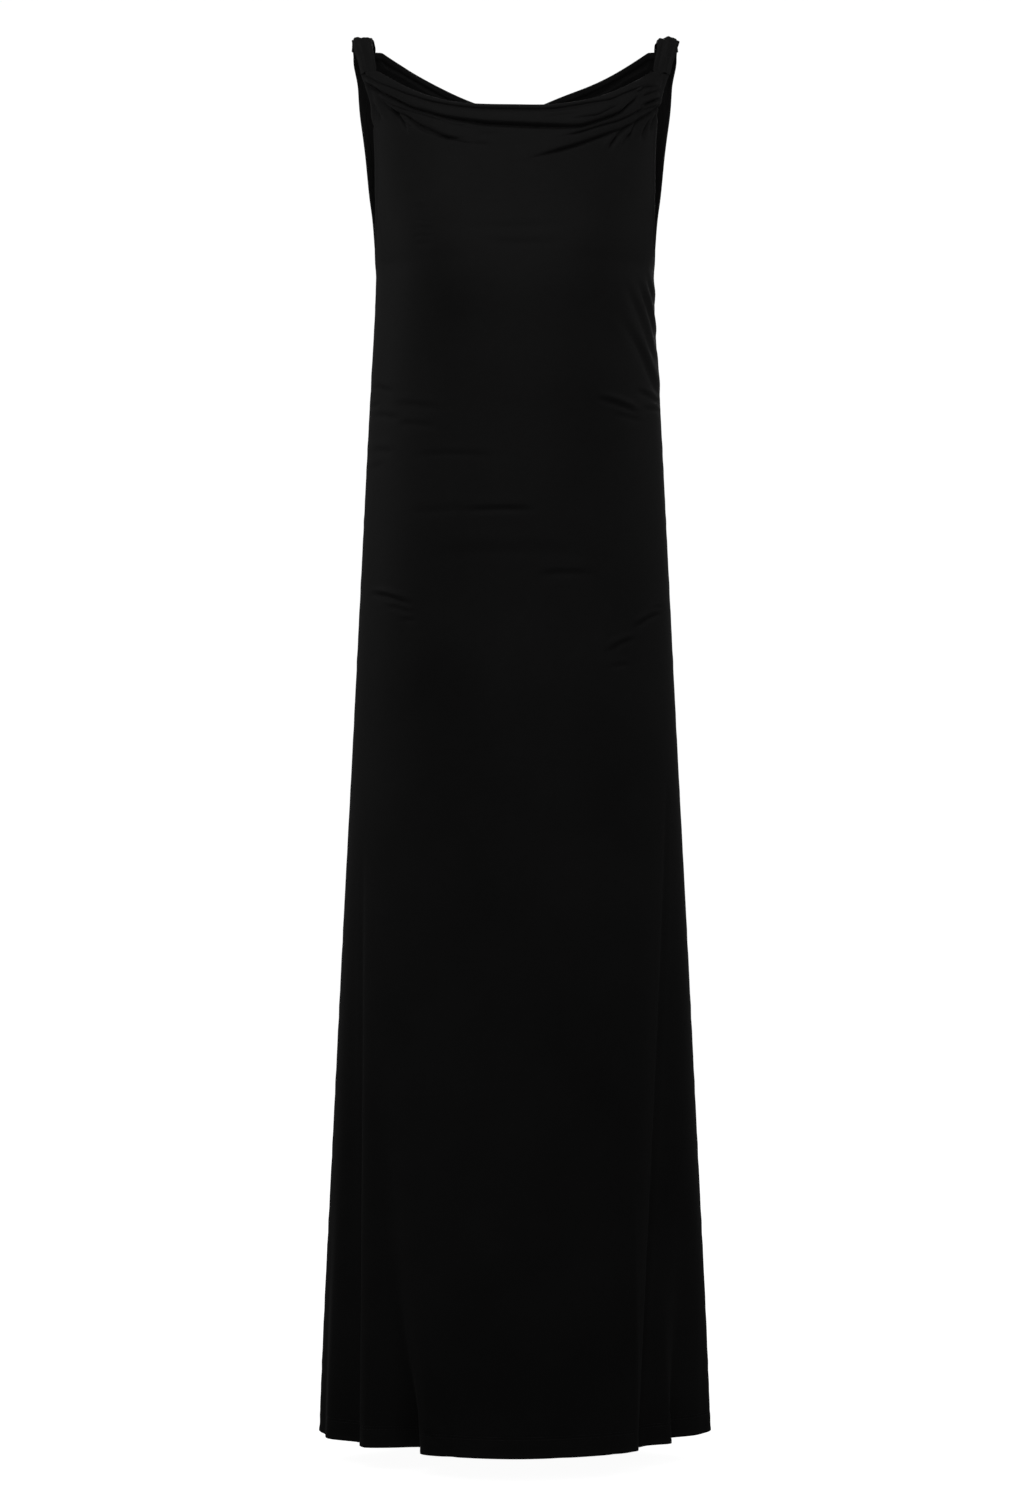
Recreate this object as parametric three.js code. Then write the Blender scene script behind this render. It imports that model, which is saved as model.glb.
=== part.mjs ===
// A sleeveless maxi dress in black jersey, hollow and filled out as if it were worn.
// The front hangs in a soft cowl between two narrow shoulder straps, the back has a plain low neckline,
// and the skirt falls in an A-line with upright flutes near the side seams.
// Millimetres, +Z up, the front faces -Y, and the wearer's left is +X. The origin lies midway between
// the shoulders, level with the underside of the straps, where the wearer carries the dress.
import * as THREE from "three";

// Driving sizes
const WALL = 1.6; // thickness of the cloth wall
const SEAM_GAP = 0.3; // what parts two pieces at a seam
const HEM_Z = -1430; // level of the hem
const HEM_SIDE = { lift: 5, power: 6 }; // how much and how suddenly the hem rises at the side seams
const UNDERARM_Z = -242; // where the armholes end and the side seams begin
const ARMHOLE_TURN_Z = -160; // level at which an armhole edge stands furthest from the side seam

// Level sections below the armholes: half width at the side seams, and the power of the oval (2 is an
// ellipse, less is more pointed at the sides).
const SIDES = [
  { z: -1430, half: 201.5, power: 1.72 },
  { z: -1300, half: 196, power: 1.78 },
  { z: -1100, half: 186, power: 1.88 },
  { z: -900, half: 176, power: 1.98 },
  { z: -720, half: 166.5, power: 2.05 },
  { z: -600, half: 160.5, power: 2.1 },
  { z: -500, half: 155.5, power: 2.1 },
  { z: -420, half: 151.5, power: 2.12 },
  { z: -340, half: 147.2, power: 2.15 },
  { z: -280, half: 143.8, power: 2.18 },
  { z: -242, half: 142.4, power: 2.2 },
];

// The profile seen from the side: how far the middle of the front and of the back stands out from the
// side seams, from the hem up to the shoulders.
const FRONT_PROFILE = [
  { z: -1430, reach: 131 },
  { z: -1100, reach: 126 },
  { z: -720, reach: 120.5 },
  { z: -500, reach: 116.5 },
  { z: -400, reach: 115.5 },
  { z: -320, reach: 118.5 },
  { z: -255, reach: 121.5 },
  { z: -200, reach: 116.5 },
  { z: -150, reach: 104.5 },
  { z: -105, reach: 91 },
  { z: -75, reach: 78 },
  { z: -50, reach: 62 },
  { z: -28, reach: 42 },
];
const BACK_PROFILE = [
  { z: -1430, reach: 138 },
  { z: -1100, reach: 130 },
  { z: -800, reach: 123.5 },
  { z: -600, reach: 118 },
  { z: -500, reach: 108 },
  { z: -420, reach: 97 },
  { z: -340, reach: 91.5 },
  { z: -260, reach: 95 },
  { z: -190, reach: 99 },
  { z: -130, reach: 92 },
  { z: -85, reach: 79 },
  { z: -50, reach: 64 },
  { z: -20, reach: 48 },
  { z: 2, reach: 31 },
];

// The panels from the underarm up to the straps: half width and power of the oval that each follows,
// and how far its armhole edge stands in front of or behind the side seam.
const FRONT_ARMHOLE = [
  { z: -242, half: 142.4, power: 2.2, out: 50 },
  { z: -225, half: 143.8, power: 2.26, out: 50 },
  { z: -200, half: 147, power: 2.35, out: 50 },
  { z: -160, half: 151.6, power: 2.45, out: 50 },
  { z: -120, half: 152.8, power: 2.4, out: 44 },
  { z: -80, half: 155, power: 2.3, out: 34 },
  { z: -58, half: 160, power: 2.2, out: 27.5 },
  { z: -28, half: 168.3, power: 2.2, out: 15.5 },
];
const BACK_ARMHOLE = [
  { z: -242, half: 142.4, power: 2.2, out: 46 },
  { z: -225, half: 145.2, power: 2.32, out: 46 },
  { z: -200, half: 151.2, power: 2.5, out: 46 },
  { z: -160, half: 158.3, power: 2.7, out: 46 },
  { z: -110, half: 165.6, power: 2.7, out: 44 },
  { z: -80, half: 174, power: 2.6, out: 42 },
  { z: -40, half: 188, power: 2.3, out: 34 },
  { z: -12, half: 189.3, power: 2.2, out: 22 },
  { z: 2, half: 183.4, power: 2.2, out: 14 },
];

// Necklines: height at the middle, half width and rise up to the shoulder, and how square the curve is.
const FRONT_NECK = { middleZ: -79, halfWidth: 141, rise: 47, square: 2.6, seamZ: -34 };
const BACK_NECK = { middleZ: -58, halfWidth: 144, rise: 58.6, square: 1.45, seamZ: -3 };

// Swags of the cowl. Each line runs from the left end over its lowest point to the right end, as seen
// from the front. The cloth swells above the line and is drawn in along it.
const COWL_SWAGS = {
  topFold: {
    leftX: -151, leftZ: -36, lowX: 15, lowZ: -80.5, rightX: 143, rightZ: -45,
    bend: 2.5, swell: 1.6, reach: 5, groove: 1.2, fadeLeft: 14, fadeRight: 14,
  },
  mainSwag: {
    leftX: -147, leftZ: -50, lowX: 50, lowZ: -94.5, rightX: 123, rightZ: -60,
    bend: 2.5, swell: 5.6, reach: 8, groove: 3, fadeLeft: 18, fadeRight: 24,
  },
  rightDiagonal: {
    leftX: 12, leftZ: -131, lowX: 12, lowZ: -131, rightX: 145, rightZ: -71,
    bend: 1.15, swell: 3.8, reach: 9, groove: 2.4, fadeLeft: 60, fadeRight: 18,
  },
  leftDiagonal: {
    leftX: -139, leftZ: -60, lowX: -24, lowZ: -118, rightX: -23, rightZ: -118,
    bend: 1.5, swell: 3.4, reach: 9, groove: 2.2, fadeLeft: 14, fadeRight: 70,
  },
};
const BACK_SWAGS = {
  upperBack: {
    leftX: -158, leftZ: -34, lowX: -12, lowZ: -96, rightX: 158, rightZ: -38,
    bend: 1.7, swell: 2.6, reach: 11, groove: 1.8, fadeLeft: 30, fadeRight: 36,
  },
};
const GROOVE_NARROWNESS = 2.2; // how many times narrower a swag's groove is than its reach

// Flutes of the skirt, by angle from the middle of the front, positive towards +X. Each begins at fromZ,
// deepens towards the hem with the given power and drifts from one angle to the other. inner and outer
// are its widths in degrees towards the middle of the front and away from it.
const FLUTES = [
  { topAngle: -74, hemAngle: -77, fromZ: -820, depth: 17, growth: 1, inner: 4.5, outer: 4 },
  { topAngle: -62, hemAngle: -57, fromZ: -960, depth: 32, growth: 1.9, inner: 8, outer: 9 },
  { topAngle: -48, hemAngle: -49, fromZ: -1290, depth: 14, growth: 1.4, inner: 5, outer: 6 },
  { topAngle: 73, hemAngle: 62, fromZ: -740, depth: 22, growth: 1.1, inner: 12, outer: 8 },
  { topAngle: 75, hemAngle: 78, fromZ: -1120, depth: 32, growth: 1.4, inner: 6, outer: 5 },
  { topAngle: 118, hemAngle: 114, fromZ: -740, depth: 26, growth: 1.35, inner: 8, outer: 9 },
  { topAngle: 147, hemAngle: 151, fromZ: -860, depth: 20, growth: 1.35, inner: 9, outer: 8 },
  { topAngle: -160, hemAngle: -164, fromZ: -800, depth: 24, growth: 1.35, inner: 9, outer: 9 },
  { topAngle: -121, hemAngle: -117, fromZ: -700, depth: 28, growth: 1.35, inner: 9, outer: 8 },
];

// The bust on a general figure
const BUST = { x: 88, z: -222, swell: 7, width: 50, height: 52 };

// The cowl's edge is turned in with this radius, and with the small one where the strap begins.
const NECK_ROLL = { radius: 4.2, smallRadius: 1.3, fullWithin: 122, smallBeyond: 137 };
const NECK_ROLL_STEPS = 4;
const NECK_ROLL_TURN = Math.PI;
const STRAP_COLUMNS = 2; // columns of a panel that end at a strap

// Stations of the left shoulder strap between its two seams. The right one is its mirror image.
const STRAP_CROWN = [
  { x: 153, y: -15.2, z: -16, width: 19, thick: 5.6 },
  { x: 156, y: -9, z: -4, width: 20.4, thick: 7.6 },
  { x: 157.6, y: -1.6, z: 3.4, width: 21, thick: 8 },
  { x: 157.6, y: 5.6, z: 5, width: 21.6, thick: 7.4 },
  { x: 157, y: 12, z: 4.1, width: 22, thick: 5.6 },
  { x: 156.6, y: 16.8, z: 1.7, width: 23, thick: 3.6 },
];
const STRAP_END = { thick: 2.4, gap: 0.5, straight: 1.5 };
const STRAP_RINGS = 13;
const STRAP_POINTS = 20;
const STRAP_GATHERS = { count: 5, depth: 0.45 };

// Rows and columns of the walls
const LOWER_LEVELS = [
  -1430, -1412, -1388, -1352, -1304, -1245, -1175, -1090, -990, -880, -775, -680, -595, -520, -452,
  -390, -335, -287, -242,
];
const FRONT_COLUMNS = 40;
const BACK_COLUMNS = 30;
const COLUMN_CROWDING = 0.18; // how much closer together the columns stand near the side seams
const COLUMNS_LEVEL_WITHIN = 90; // height over the underarm at which the columns are evenly wide in x
const NECK_FITTING_PASSES = 12;
const FRONT_ROWS = { chest: 7, neck: 17, neckBand: 58 };
const BACK_ROWS = { chest: 8, neck: 6, neckBand: 46 };
const CHEST_ROW_POWER = 1.6; // crowds the rows of the chest towards the underarm

const CLOTH_BLACK = 0x0f0f10;
const CLOTH_ROUGHNESS = 0.72;

const DEGREES = Math.PI / 180;
const clamp01 = (t) => Math.min(1, Math.max(0, t));
const mix = (a, b, t) => a + (b - a) * t;
const easeInOut = (t) => clamp01(t) ** 2 * (3 - 2 * clamp01(t));
const bell = (distance, width) => Math.exp(-((distance / width) ** 2));

// A smooth curve through one column of a table whose rows are in order of z, as a function of z.
function through(rows, key) {
  const slope = (i) => {
    const before = rows[Math.max(0, i - 1)];
    const after = rows[Math.min(rows.length - 1, i + 1)];
    return (after[key] - before[key]) / (after.z - before.z);
  };
  return (z) => {
    const wanted = Math.min(rows.at(-1).z, Math.max(rows[0].z, z));
    const i = Math.min(rows.length - 2, rows.findLastIndex((row) => row.z <= wanted));
    const span = rows[i + 1].z - rows[i].z;
    const t = (wanted - rows[i].z) / span;
    const start = rows[i][key];
    const end = rows[i + 1][key];
    const out = slope(i) * span;
    const into = slope(i + 1) * span;
    return (
      start * (1 + 2 * t) * (1 - t) ** 2 +
      out * t * (1 - t) ** 2 +
      end * t * t * (3 - 2 * t) +
      into * t * t * (t - 1)
    );
  };
}

const sideHalf = through(SIDES, "half");
const sidePower = through(SIDES, "power");

// How far an armhole edge stands from the side seam: a quarter oval at its foot, then the table.
function armholeOut(armhole) {
  const upper = through(armhole, "out");
  return (z) => {
    if (z <= UNDERARM_Z) return 0;
    const below = clamp01((ARMHOLE_TURN_Z - z) / (ARMHOLE_TURN_Z - UNDERARM_Z));
    return upper(z) * Math.sqrt(1 - below * below);
  };
}

// How much a swag moves the cloth outwards at (x, z).
function swagAt(swag, x, z) {
  if (x <= swag.leftX || x >= swag.rightX) return 0;
  const onLeft = x < swag.lowX;
  const endX = onLeft ? swag.leftX : swag.rightX;
  const endZ = onLeft ? swag.leftZ : swag.rightZ;
  const t = (x - swag.lowX) / (endX - swag.lowX);
  const above = z - mix(swag.lowZ, endZ, t ** swag.bend);
  const fade =
    easeInOut((x - swag.leftX) / swag.fadeLeft) * easeInOut((swag.rightX - x) / swag.fadeRight);
  const lift = above / swag.reach;
  const swell = above > 0 ? swag.swell * lift * Math.exp(1 - lift) : 0;
  return fade * (swell - swag.groove * bell(above, swag.reach / GROOVE_NARROWNESS));
}

// How much the flutes draw the skirt in at an angle round the tube and a height.
function flutesAt(angle, z) {
  return FLUTES.reduce((sum, flute) => {
    const down = clamp01((flute.fromZ - z) / (flute.fromZ - HEM_Z));
    if (down === 0) return sum;
    const middle = mix(flute.topAngle, flute.hemAngle, down);
    const off = ((angle - middle + 540) % 360) - 180;
    const outward = off * Math.sign(middle) > 0;
    return sum - flute.depth * down ** flute.growth * bell(off, outward ? flute.outer : flute.inner);
  }, 0);
}

// How much the bust lifts the front at (x, z).
function bustAt(x, z) {
  const side = bell(Math.abs(x) - BUST.x, BUST.width);
  return BUST.swell * side * bell(z - BUST.z, BUST.height);
}

// The middle surface of one panel: facing is -1 for the front and +1 for the back. u runs from -1 at one
// side seam to 1 at the other, from left to right for someone who looks at that panel.
function panelSurface({ facing, profile, armhole, swags, neck, bust }) {
  const reachAt = through(profile, "reach");
  const upperHalf = through(armhole, "half");
  const upperPower = through(armhole, "power");
  const outAt = armholeOut(armhole);

  function at(u, z) {
    const above = z > UNDERARM_Z;
    const reach = reachAt(z);
    const power = above ? upperPower(z) : sidePower(z);
    const half = above ? upperHalf(z) : sideHalf(z);
    const out = outAt(z);
    const side = half * (1 - (out / reach) ** power) ** (1 / power);
    const evenAngle = Math.atan2(side, out) * (u + COLUMN_CROWDING * (u - u ** 3));
    const across = Math.abs(side * u);
    const behind = reach * (1 - (across / half) ** power) ** (1 / power);
    const evenAcross = Math.atan2(across, behind) * Math.sign(u);
    const angle = mix(evenAngle, evenAcross, easeInOut((z - UNDERARM_Z) / COLUMNS_LEVEL_WITHIN));
    const sine = Math.sin(angle);
    const cosine = Math.cos(angle);
    const oval = (Math.abs(sine) / half) ** power + (Math.abs(cosine) / reach) ** power;
    let radius = oval ** (-1 / power);
    const x = -facing * radius * sine;
    const round = angle / DEGREES + (facing < 0 ? 0 : 180);
    radius += flutesAt(round, z);
    if (above) radius += Object.values(swags).reduce((sum, swag) => sum + swagAt(swag, x, z), 0);
    if (bust) radius += bustAt(x, z) * cosine;
    return new THREE.Vector3(
      -facing * radius * sine,
      facing * (radius * cosine + SEAM_GAP / 2),
      z,
    );
  }

  // Height of the panel's top edge at a column, which is the neckline or the seam of the shoulder strap.
  function topZ(u) {
    let z = neck.seamZ;
    for (let pass = 0; pass < NECK_FITTING_PASSES; pass++) {
      const t = Math.abs(at(u, z).x) / neck.halfWidth;
      z = Math.min(neck.seamZ, neck.middleZ + neck.rise * t ** neck.square);
    }
    return z;
  }
  return { at, topZ };
}

// The middle points of a panel as rows of points from the hem to the top edge.
function panelRows(surface, columns, rows) {
  const us = Array.from({ length: columns + 1 }, (_, i) => (2 * i) / columns - 1);
  const tops = us.map(surface.topZ);
  const grid = LOWER_LEVELS.map((z, level) =>
    us.map((u) => surface.at(u, level === 0 ? z + HEM_SIDE.lift * Math.abs(u) ** HEM_SIDE.power : z)),
  );
  for (let i = 1; i <= rows.chest; i++) {
    const t = (i / rows.chest) ** CHEST_ROW_POWER;
    grid.push(us.map((u, k) => surface.at(u, mix(UNDERARM_Z, tops[k] - rows.neckBand, t))));
  }
  for (let i = 1; i <= rows.neck; i++) {
    const below = rows.neckBand * (1 - i / rows.neck);
    grid.push(us.map((u, k) => surface.at(u, tops[k] - below)));
  }
  return grid;
}

// Unit normals of a grid of points, outwards. Along the side seams they lie in the seam's plane, so
// that the two panels' walls keep their gap.
function normalsOf(grid) {
  return grid.map((row, j) =>
    row.map((point, i) => {
      const across = grid[j][Math.min(row.length - 1, i + 1)].clone().sub(grid[j][Math.max(0, i - 1)]);
      const up = grid[Math.min(grid.length - 1, j + 1)][i].clone().sub(grid[Math.max(0, j - 1)][i]);
      const normal = across.cross(up);
      if ((i === 0 || i === row.length - 1) && point.z <= UNDERARM_Z) normal.y = 0;
      return normal.normalize();
    }),
  );
}

// Turns the top edge of the cowl inwards, as further rows of the grid.
function rollNeckline(grid) {
  const last = grid.at(-1);
  const before = grid.at(-2);
  const normals = normalsOf(grid).at(-1);
  for (let step = 1; step <= NECK_ROLL_STEPS; step++) {
    const turn = (NECK_ROLL_TURN * step) / NECK_ROLL_STEPS;
    grid.push(
      last.map((point, i) => {
        const span = NECK_ROLL.smallBeyond - NECK_ROLL.fullWithin;
        const full = easeInOut((NECK_ROLL.smallBeyond - Math.abs(point.x)) / span);
        const radius = mix(NECK_ROLL.smallRadius, NECK_ROLL.radius, full);
        const up = point.clone().sub(before[i]).normalize();
        return point
          .clone()
          .addScaledVector(normals[i], radius * (Math.cos(turn) - 1))
          .addScaledVector(up, radius * Math.sin(turn));
      }),
    );
  }
}

// A closed wall of the given thickness about a grid of middle points.
function wallGeometry(grid) {
  const normals = normalsOf(grid);
  const rows = grid.length;
  const columns = grid[0].length;
  const positions = [];
  for (const side of [1, -1]) {
    grid.forEach((row, j) =>
      row.forEach((point, i) => {
        positions.push(...point.clone().addScaledVector(normals[j][i], (side * WALL) / 2).toArray());
      }),
    );
  }
  const inner = rows * columns;
  const id = (j, i) => j * columns + i;
  const index = [];
  const quad = (a, b, c, d) => index.push(a, b, c, a, c, d);
  for (let j = 0; j < rows - 1; j++) {
    for (let i = 0; i < columns - 1; i++) {
      quad(id(j, i), id(j, i + 1), id(j + 1, i + 1), id(j + 1, i));
      quad(inner + id(j, i), inner + id(j + 1, i), inner + id(j + 1, i + 1), inner + id(j, i + 1));
    }
    quad(inner + id(j, 0), id(j, 0), id(j + 1, 0), inner + id(j + 1, 0));
    const end = columns - 1;
    quad(id(j, end), inner + id(j, end), inner + id(j + 1, end), id(j + 1, end));
  }
  for (let i = 0; i < columns - 1; i++) {
    quad(inner + id(0, i), inner + id(0, i + 1), id(0, i + 1), id(0, i));
    const top = rows - 1;
    quad(id(top, i), id(top, i + 1), inner + id(top, i + 1), inner + id(top, i));
  }
  return new THREE.BufferGeometry()
    .setAttribute("position", new THREE.Float32BufferAttribute(positions, 3))
    .setIndex(index);
}

// The end of a strap at a panel's top corner: the middle of the edge there, moved past its end. The
// columns run from the seam at the corner, and the strap is as wide as the first ones.
function strapEnd(grid, clearance) {
  const corner = grid.at(-1)[0].x > 0 ? 0 : grid[0].length - 1;
  const inwards = corner === 0 ? STRAP_COLUMNS : corner - STRAP_COLUMNS;
  const outer = grid.at(-1)[corner];
  const inner = grid.at(-1)[inwards];
  const across = outer.clone().sub(inner).normalize();
  const onward = outer.clone().add(inner).sub(grid.at(-2)[corner]).sub(grid.at(-2)[inwards]);
  onward.addScaledVector(across, -onward.dot(across)).normalize();
  const middle = outer.clone().add(inner).multiplyScalar(0.5).addScaledVector(onward, clearance);
  return { middle, onward, across, width: outer.distanceTo(inner) + WALL };
}

// The left shoulder strap: a soft gathered tube from the front seam over to the back seam.
function strapGeometry(front, back) {
  const endStation = (end, onward) => {
    const place = end.middle.clone().addScaledVector(end.onward, onward);
    return { x: place.x, y: place.y, z: place.z, width: end.width, thick: STRAP_END.thick };
  };
  const stations = [
    endStation(front, 0),
    endStation(front, STRAP_END.straight),
    ...STRAP_CROWN,
    endStation(back, STRAP_END.straight),
    endStation(back, 0),
  ];
  const path = new THREE.CatmullRomCurve3(stations.map((s) => new THREE.Vector3(s.x, s.y, s.z)));
  const sizes = new THREE.CatmullRomCurve3(
    stations.map((s) => new THREE.Vector3(s.width, s.thick, 0)),
  );
  const positions = [];
  const index = [];
  for (let ring = 0; ring < STRAP_RINGS; ring++) {
    const t = path.getUtoTmapping(ring / (STRAP_RINGS - 1));
    const centre = path.getPoint(t);
    const along = path.getTangent(t);
    if (ring === 0) along.copy(front.onward);
    if (ring === STRAP_RINGS - 1) along.copy(back.onward).negate();
    const across = front.across.clone().lerp(back.across, t);
    across.addScaledVector(along, -across.dot(along)).normalize();
    const outward = across.clone().cross(along);
    const size = sizes.getPoint(t);
    const gathered = Math.sin(Math.PI * t);
    for (let k = 0; k < STRAP_POINTS; k++) {
      const turn = (2 * Math.PI * k) / STRAP_POINTS;
      const wave = STRAP_GATHERS.depth * gathered * Math.cos(STRAP_GATHERS.count * turn);
      const point = centre
        .clone()
        .addScaledVector(across, (size.x / 2 + wave) * Math.cos(turn))
        .addScaledVector(outward, (size.y / 2 + wave) * Math.sin(turn));
      positions.push(...point.toArray());
    }
  }
  for (let ring = 0; ring < STRAP_RINGS - 1; ring++) {
    for (let k = 0; k < STRAP_POINTS; k++) {
      const a = ring * STRAP_POINTS + k;
      const b = ring * STRAP_POINTS + ((k + 1) % STRAP_POINTS);
      index.push(a, a + STRAP_POINTS, b, b, a + STRAP_POINTS, b + STRAP_POINTS);
    }
  }
  const lastRing = (STRAP_RINGS - 1) * STRAP_POINTS;
  for (let k = 1; k < STRAP_POINTS - 1; k++) {
    index.push(0, k, k + 1);
    index.push(lastRing, lastRing + k + 1, lastRing + k);
  }
  return new THREE.BufferGeometry()
    .setAttribute("position", new THREE.Float32BufferAttribute(positions, 3))
    .setIndex(index);
}

// A named mesh in the dress's one cloth.
function clothMesh(name, geometry) {
  const cloth = new THREE.MeshStandardMaterial({
    color: CLOTH_BLACK,
    roughness: CLOTH_ROUGHNESS,
    metalness: 0,
  });
  geometry.computeVertexNormals();
  const mesh = new THREE.Mesh(geometry, cloth);
  mesh.name = name;
  return mesh;
}

const frontSurface = panelSurface({
  facing: -1,
  profile: FRONT_PROFILE,
  armhole: FRONT_ARMHOLE,
  swags: COWL_SWAGS,
  neck: FRONT_NECK,
  bust: true,
});
const backSurface = panelSurface({
  facing: 1,
  profile: BACK_PROFILE,
  armhole: BACK_ARMHOLE,
  swags: BACK_SWAGS,
  neck: BACK_NECK,
  bust: false,
});

const frontGrid = panelRows(frontSurface, FRONT_COLUMNS, FRONT_ROWS);
const backGrid = panelRows(backSurface, BACK_COLUMNS, BACK_ROWS);
const frontStrapEnd = strapEnd(frontGrid, NECK_ROLL.smallRadius + WALL / 2 + STRAP_END.gap);
const backStrapEnd = strapEnd(backGrid, STRAP_END.gap);
rollNeckline(frontGrid);

const dress = new THREE.Group();
dress.add(clothMesh("front_panel", wallGeometry(frontGrid)));
dress.add(clothMesh("back_panel", wallGeometry(backGrid)));
const leftStrap = strapGeometry(frontStrapEnd, backStrapEnd);
const rightStrap = clothMesh("shoulder_strap_right", leftStrap.clone());
rightStrap.scale.x = -1;
dress.add(clothMesh("shoulder_strap_left", leftStrap));
dress.add(rightStrap);

export default dress;
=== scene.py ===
"""A black jersey maxi dress with a draped cowl, filled out as worn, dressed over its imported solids.

Metres, +Z up, the front faces -Y and the wearer's left is +X. The dress's own sizes are in millimetres.
"""

import logging
import math
from dataclasses import dataclass, field
from enum import Enum

import bmesh
import bpy
import numpy as np
from mathutils import Matrix, Vector


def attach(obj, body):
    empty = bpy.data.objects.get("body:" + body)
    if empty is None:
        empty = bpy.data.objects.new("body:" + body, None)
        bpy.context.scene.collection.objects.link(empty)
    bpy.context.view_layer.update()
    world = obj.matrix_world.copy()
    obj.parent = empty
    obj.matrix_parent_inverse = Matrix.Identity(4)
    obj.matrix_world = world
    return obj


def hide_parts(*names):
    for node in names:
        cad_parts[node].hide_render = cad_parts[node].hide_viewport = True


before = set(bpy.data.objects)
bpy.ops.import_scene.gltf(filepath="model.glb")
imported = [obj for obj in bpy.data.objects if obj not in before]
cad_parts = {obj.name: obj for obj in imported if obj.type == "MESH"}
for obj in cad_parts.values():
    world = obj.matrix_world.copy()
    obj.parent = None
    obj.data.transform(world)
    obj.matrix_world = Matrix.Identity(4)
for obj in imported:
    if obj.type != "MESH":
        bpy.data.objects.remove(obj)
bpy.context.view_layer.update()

logging.basicConfig(level=logging.INFO, format="%(name)s: %(message)s")
LOG = logging.getLogger("maxi_dress")

MM = 0.001
TURNED_GROUP = "turned"  # the vertex group that says where a wall is thick
TURNED_STEPS = 10  # its weights are set in so many steps

SEAM_GAP = 0.3  # what parts the two panels at a side seam
SEAM_MEETS = 0.2  # how far each cloth goes past the side seam's plane, so that it closes
HEM_Z = -1430.0
# The hem rises by this much at the side seams, over this height of skirt.
HEM_LIFT, HEM_LIFT_POWER, HEM_LIFT_FADE = 5.0, 6, 60.0
UNDERARM_Z = -242.0
# The armhole's round foot ends at this height, and its curve has this power.
ARMHOLE_TURN_Z, ARMHOLE_TURN_POWER = -160.0, 0.8
ARMHOLE_BEGINS_WITHIN = 14.0  # above the underarm, where the seam gives way to a turned edge
# Columns crowd towards the sides, and over this height they change from even angles to even widths.
COLUMN_CROWDING, COLUMNS_LEVEL_WITHIN = 0.18, 90.0


class Facing(Enum):
    """Which way a panel of the dress faces along Y."""

    FRONT = -1
    BACK = 1


class WearerSide(Enum):
    """The wearer's own left or right, as the sign of X."""

    LEFT = 1
    RIGHT = -1


# Curves and tables


def ease(t: np.ndarray | float) -> np.ndarray:
    """Goes smoothly from 0 at t = 0 to 1 at t = 1."""
    t = np.clip(t, 0.0, 1.0)
    return t * t * (3 - 2 * t)


def bell(distance: np.ndarray | float, width: np.ndarray | float) -> np.ndarray:
    """A soft bump that is 1 at distance 0 and fades over the width."""
    return np.exp(-((distance / width) ** 2))


def mix(a: np.ndarray | float, b: np.ndarray | float, t: np.ndarray | float) -> np.ndarray:
    """The value that lies the share t of the way from a to b."""
    return a + (b - a) * t


def smooth_read(place: np.ndarray, value: np.ndarray, at: np.ndarray) -> np.ndarray:
    """Reads a smooth curve through some values.

    Args:
        place: where the values stand, in rising order.
        value: the values.
        at: where to read; beyond the ends it is the end's value.

    Returns:
        The curve's value at each place asked for.
    """
    rise = np.r_[value[1:], value[-1]] - np.r_[value[0], value[:-1]]
    slope = rise / (np.r_[place[1:], place[-1]] - np.r_[place[0], place[:-1]])
    at = np.clip(at, place[0], place[-1])
    i = np.clip(np.searchsorted(place, at, side="right") - 1, 0, len(place) - 2)
    span = place[i + 1] - place[i]
    t = (at - place[i]) / span
    return (
        value[i] * (1 + 2 * t) * (1 - t) ** 2
        + slope[i] * span * t * (1 - t) ** 2
        + value[i + 1] * t * t * (3 - 2 * t)
        + slope[i + 1] * span * t * t * (t - 1)
    )


class LevelTable:
    """A short table with named columns in order of z, read as smooth curves."""

    def __init__(self, columns: str, *rows: tuple[float, ...]) -> None:
        """Keeps the rows by column.

        Args:
            columns: the columns' names, with z first.
            rows: one row of values for each level, in millimetres.
        """
        self.column = dict(zip(columns.split(), np.array(rows, float).T))

    def at(self, key: str, z: np.ndarray) -> np.ndarray:
        """The column's value at each height, in millimetres."""
        return smooth_read(self.column["z"], self.column[key], z)


# The form of the dress

SIDES = LevelTable(
    "z half power",
    (-1430, 201.5, 1.72), (-1300, 196, 1.78), (-1100, 186, 1.88), (-900, 176, 1.98),
    (-720, 166.5, 2.05), (-600, 160.5, 2.1), (-500, 155.5, 2.1), (-420, 151.5, 2.12),
    (-340, 147.2, 2.15), (-280, 143.8, 2.18), (-242, 142.4, 2.2),
)
FRONT_PROFILE = LevelTable(
    "z reach",
    (-1430, 131), (-1100, 126), (-720, 120.5), (-500, 116.5), (-400, 115.5), (-320, 118.5),
    (-255, 121.5), (-200, 116.5), (-150, 104.5), (-105, 91), (-75, 78), (-50, 62), (-28, 42),
)
BACK_PROFILE = LevelTable(
    "z reach",
    (-1430, 138), (-1100, 130), (-800, 123.5), (-600, 118), (-500, 108), (-420, 97), (-340, 91.5),
    (-260, 95), (-190, 99), (-130, 92), (-85, 79), (-50, 64), (-20, 48), (2, 31),
)
FRONT_ARMHOLE = LevelTable(
    "z half power out",
    (-242, 142.4, 2.2, 50), (-234, 142.6, 2.21, 50), (-225, 143.7, 2.26, 50),
    (-200, 147, 2.35, 50), (-160, 151.6, 2.45, 50), (-120, 152.8, 2.4, 44), (-80, 155, 2.3, 34),
    (-58, 160, 2.2, 27.5), (-28, 168.3, 2.2, 15.5),
)
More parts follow.
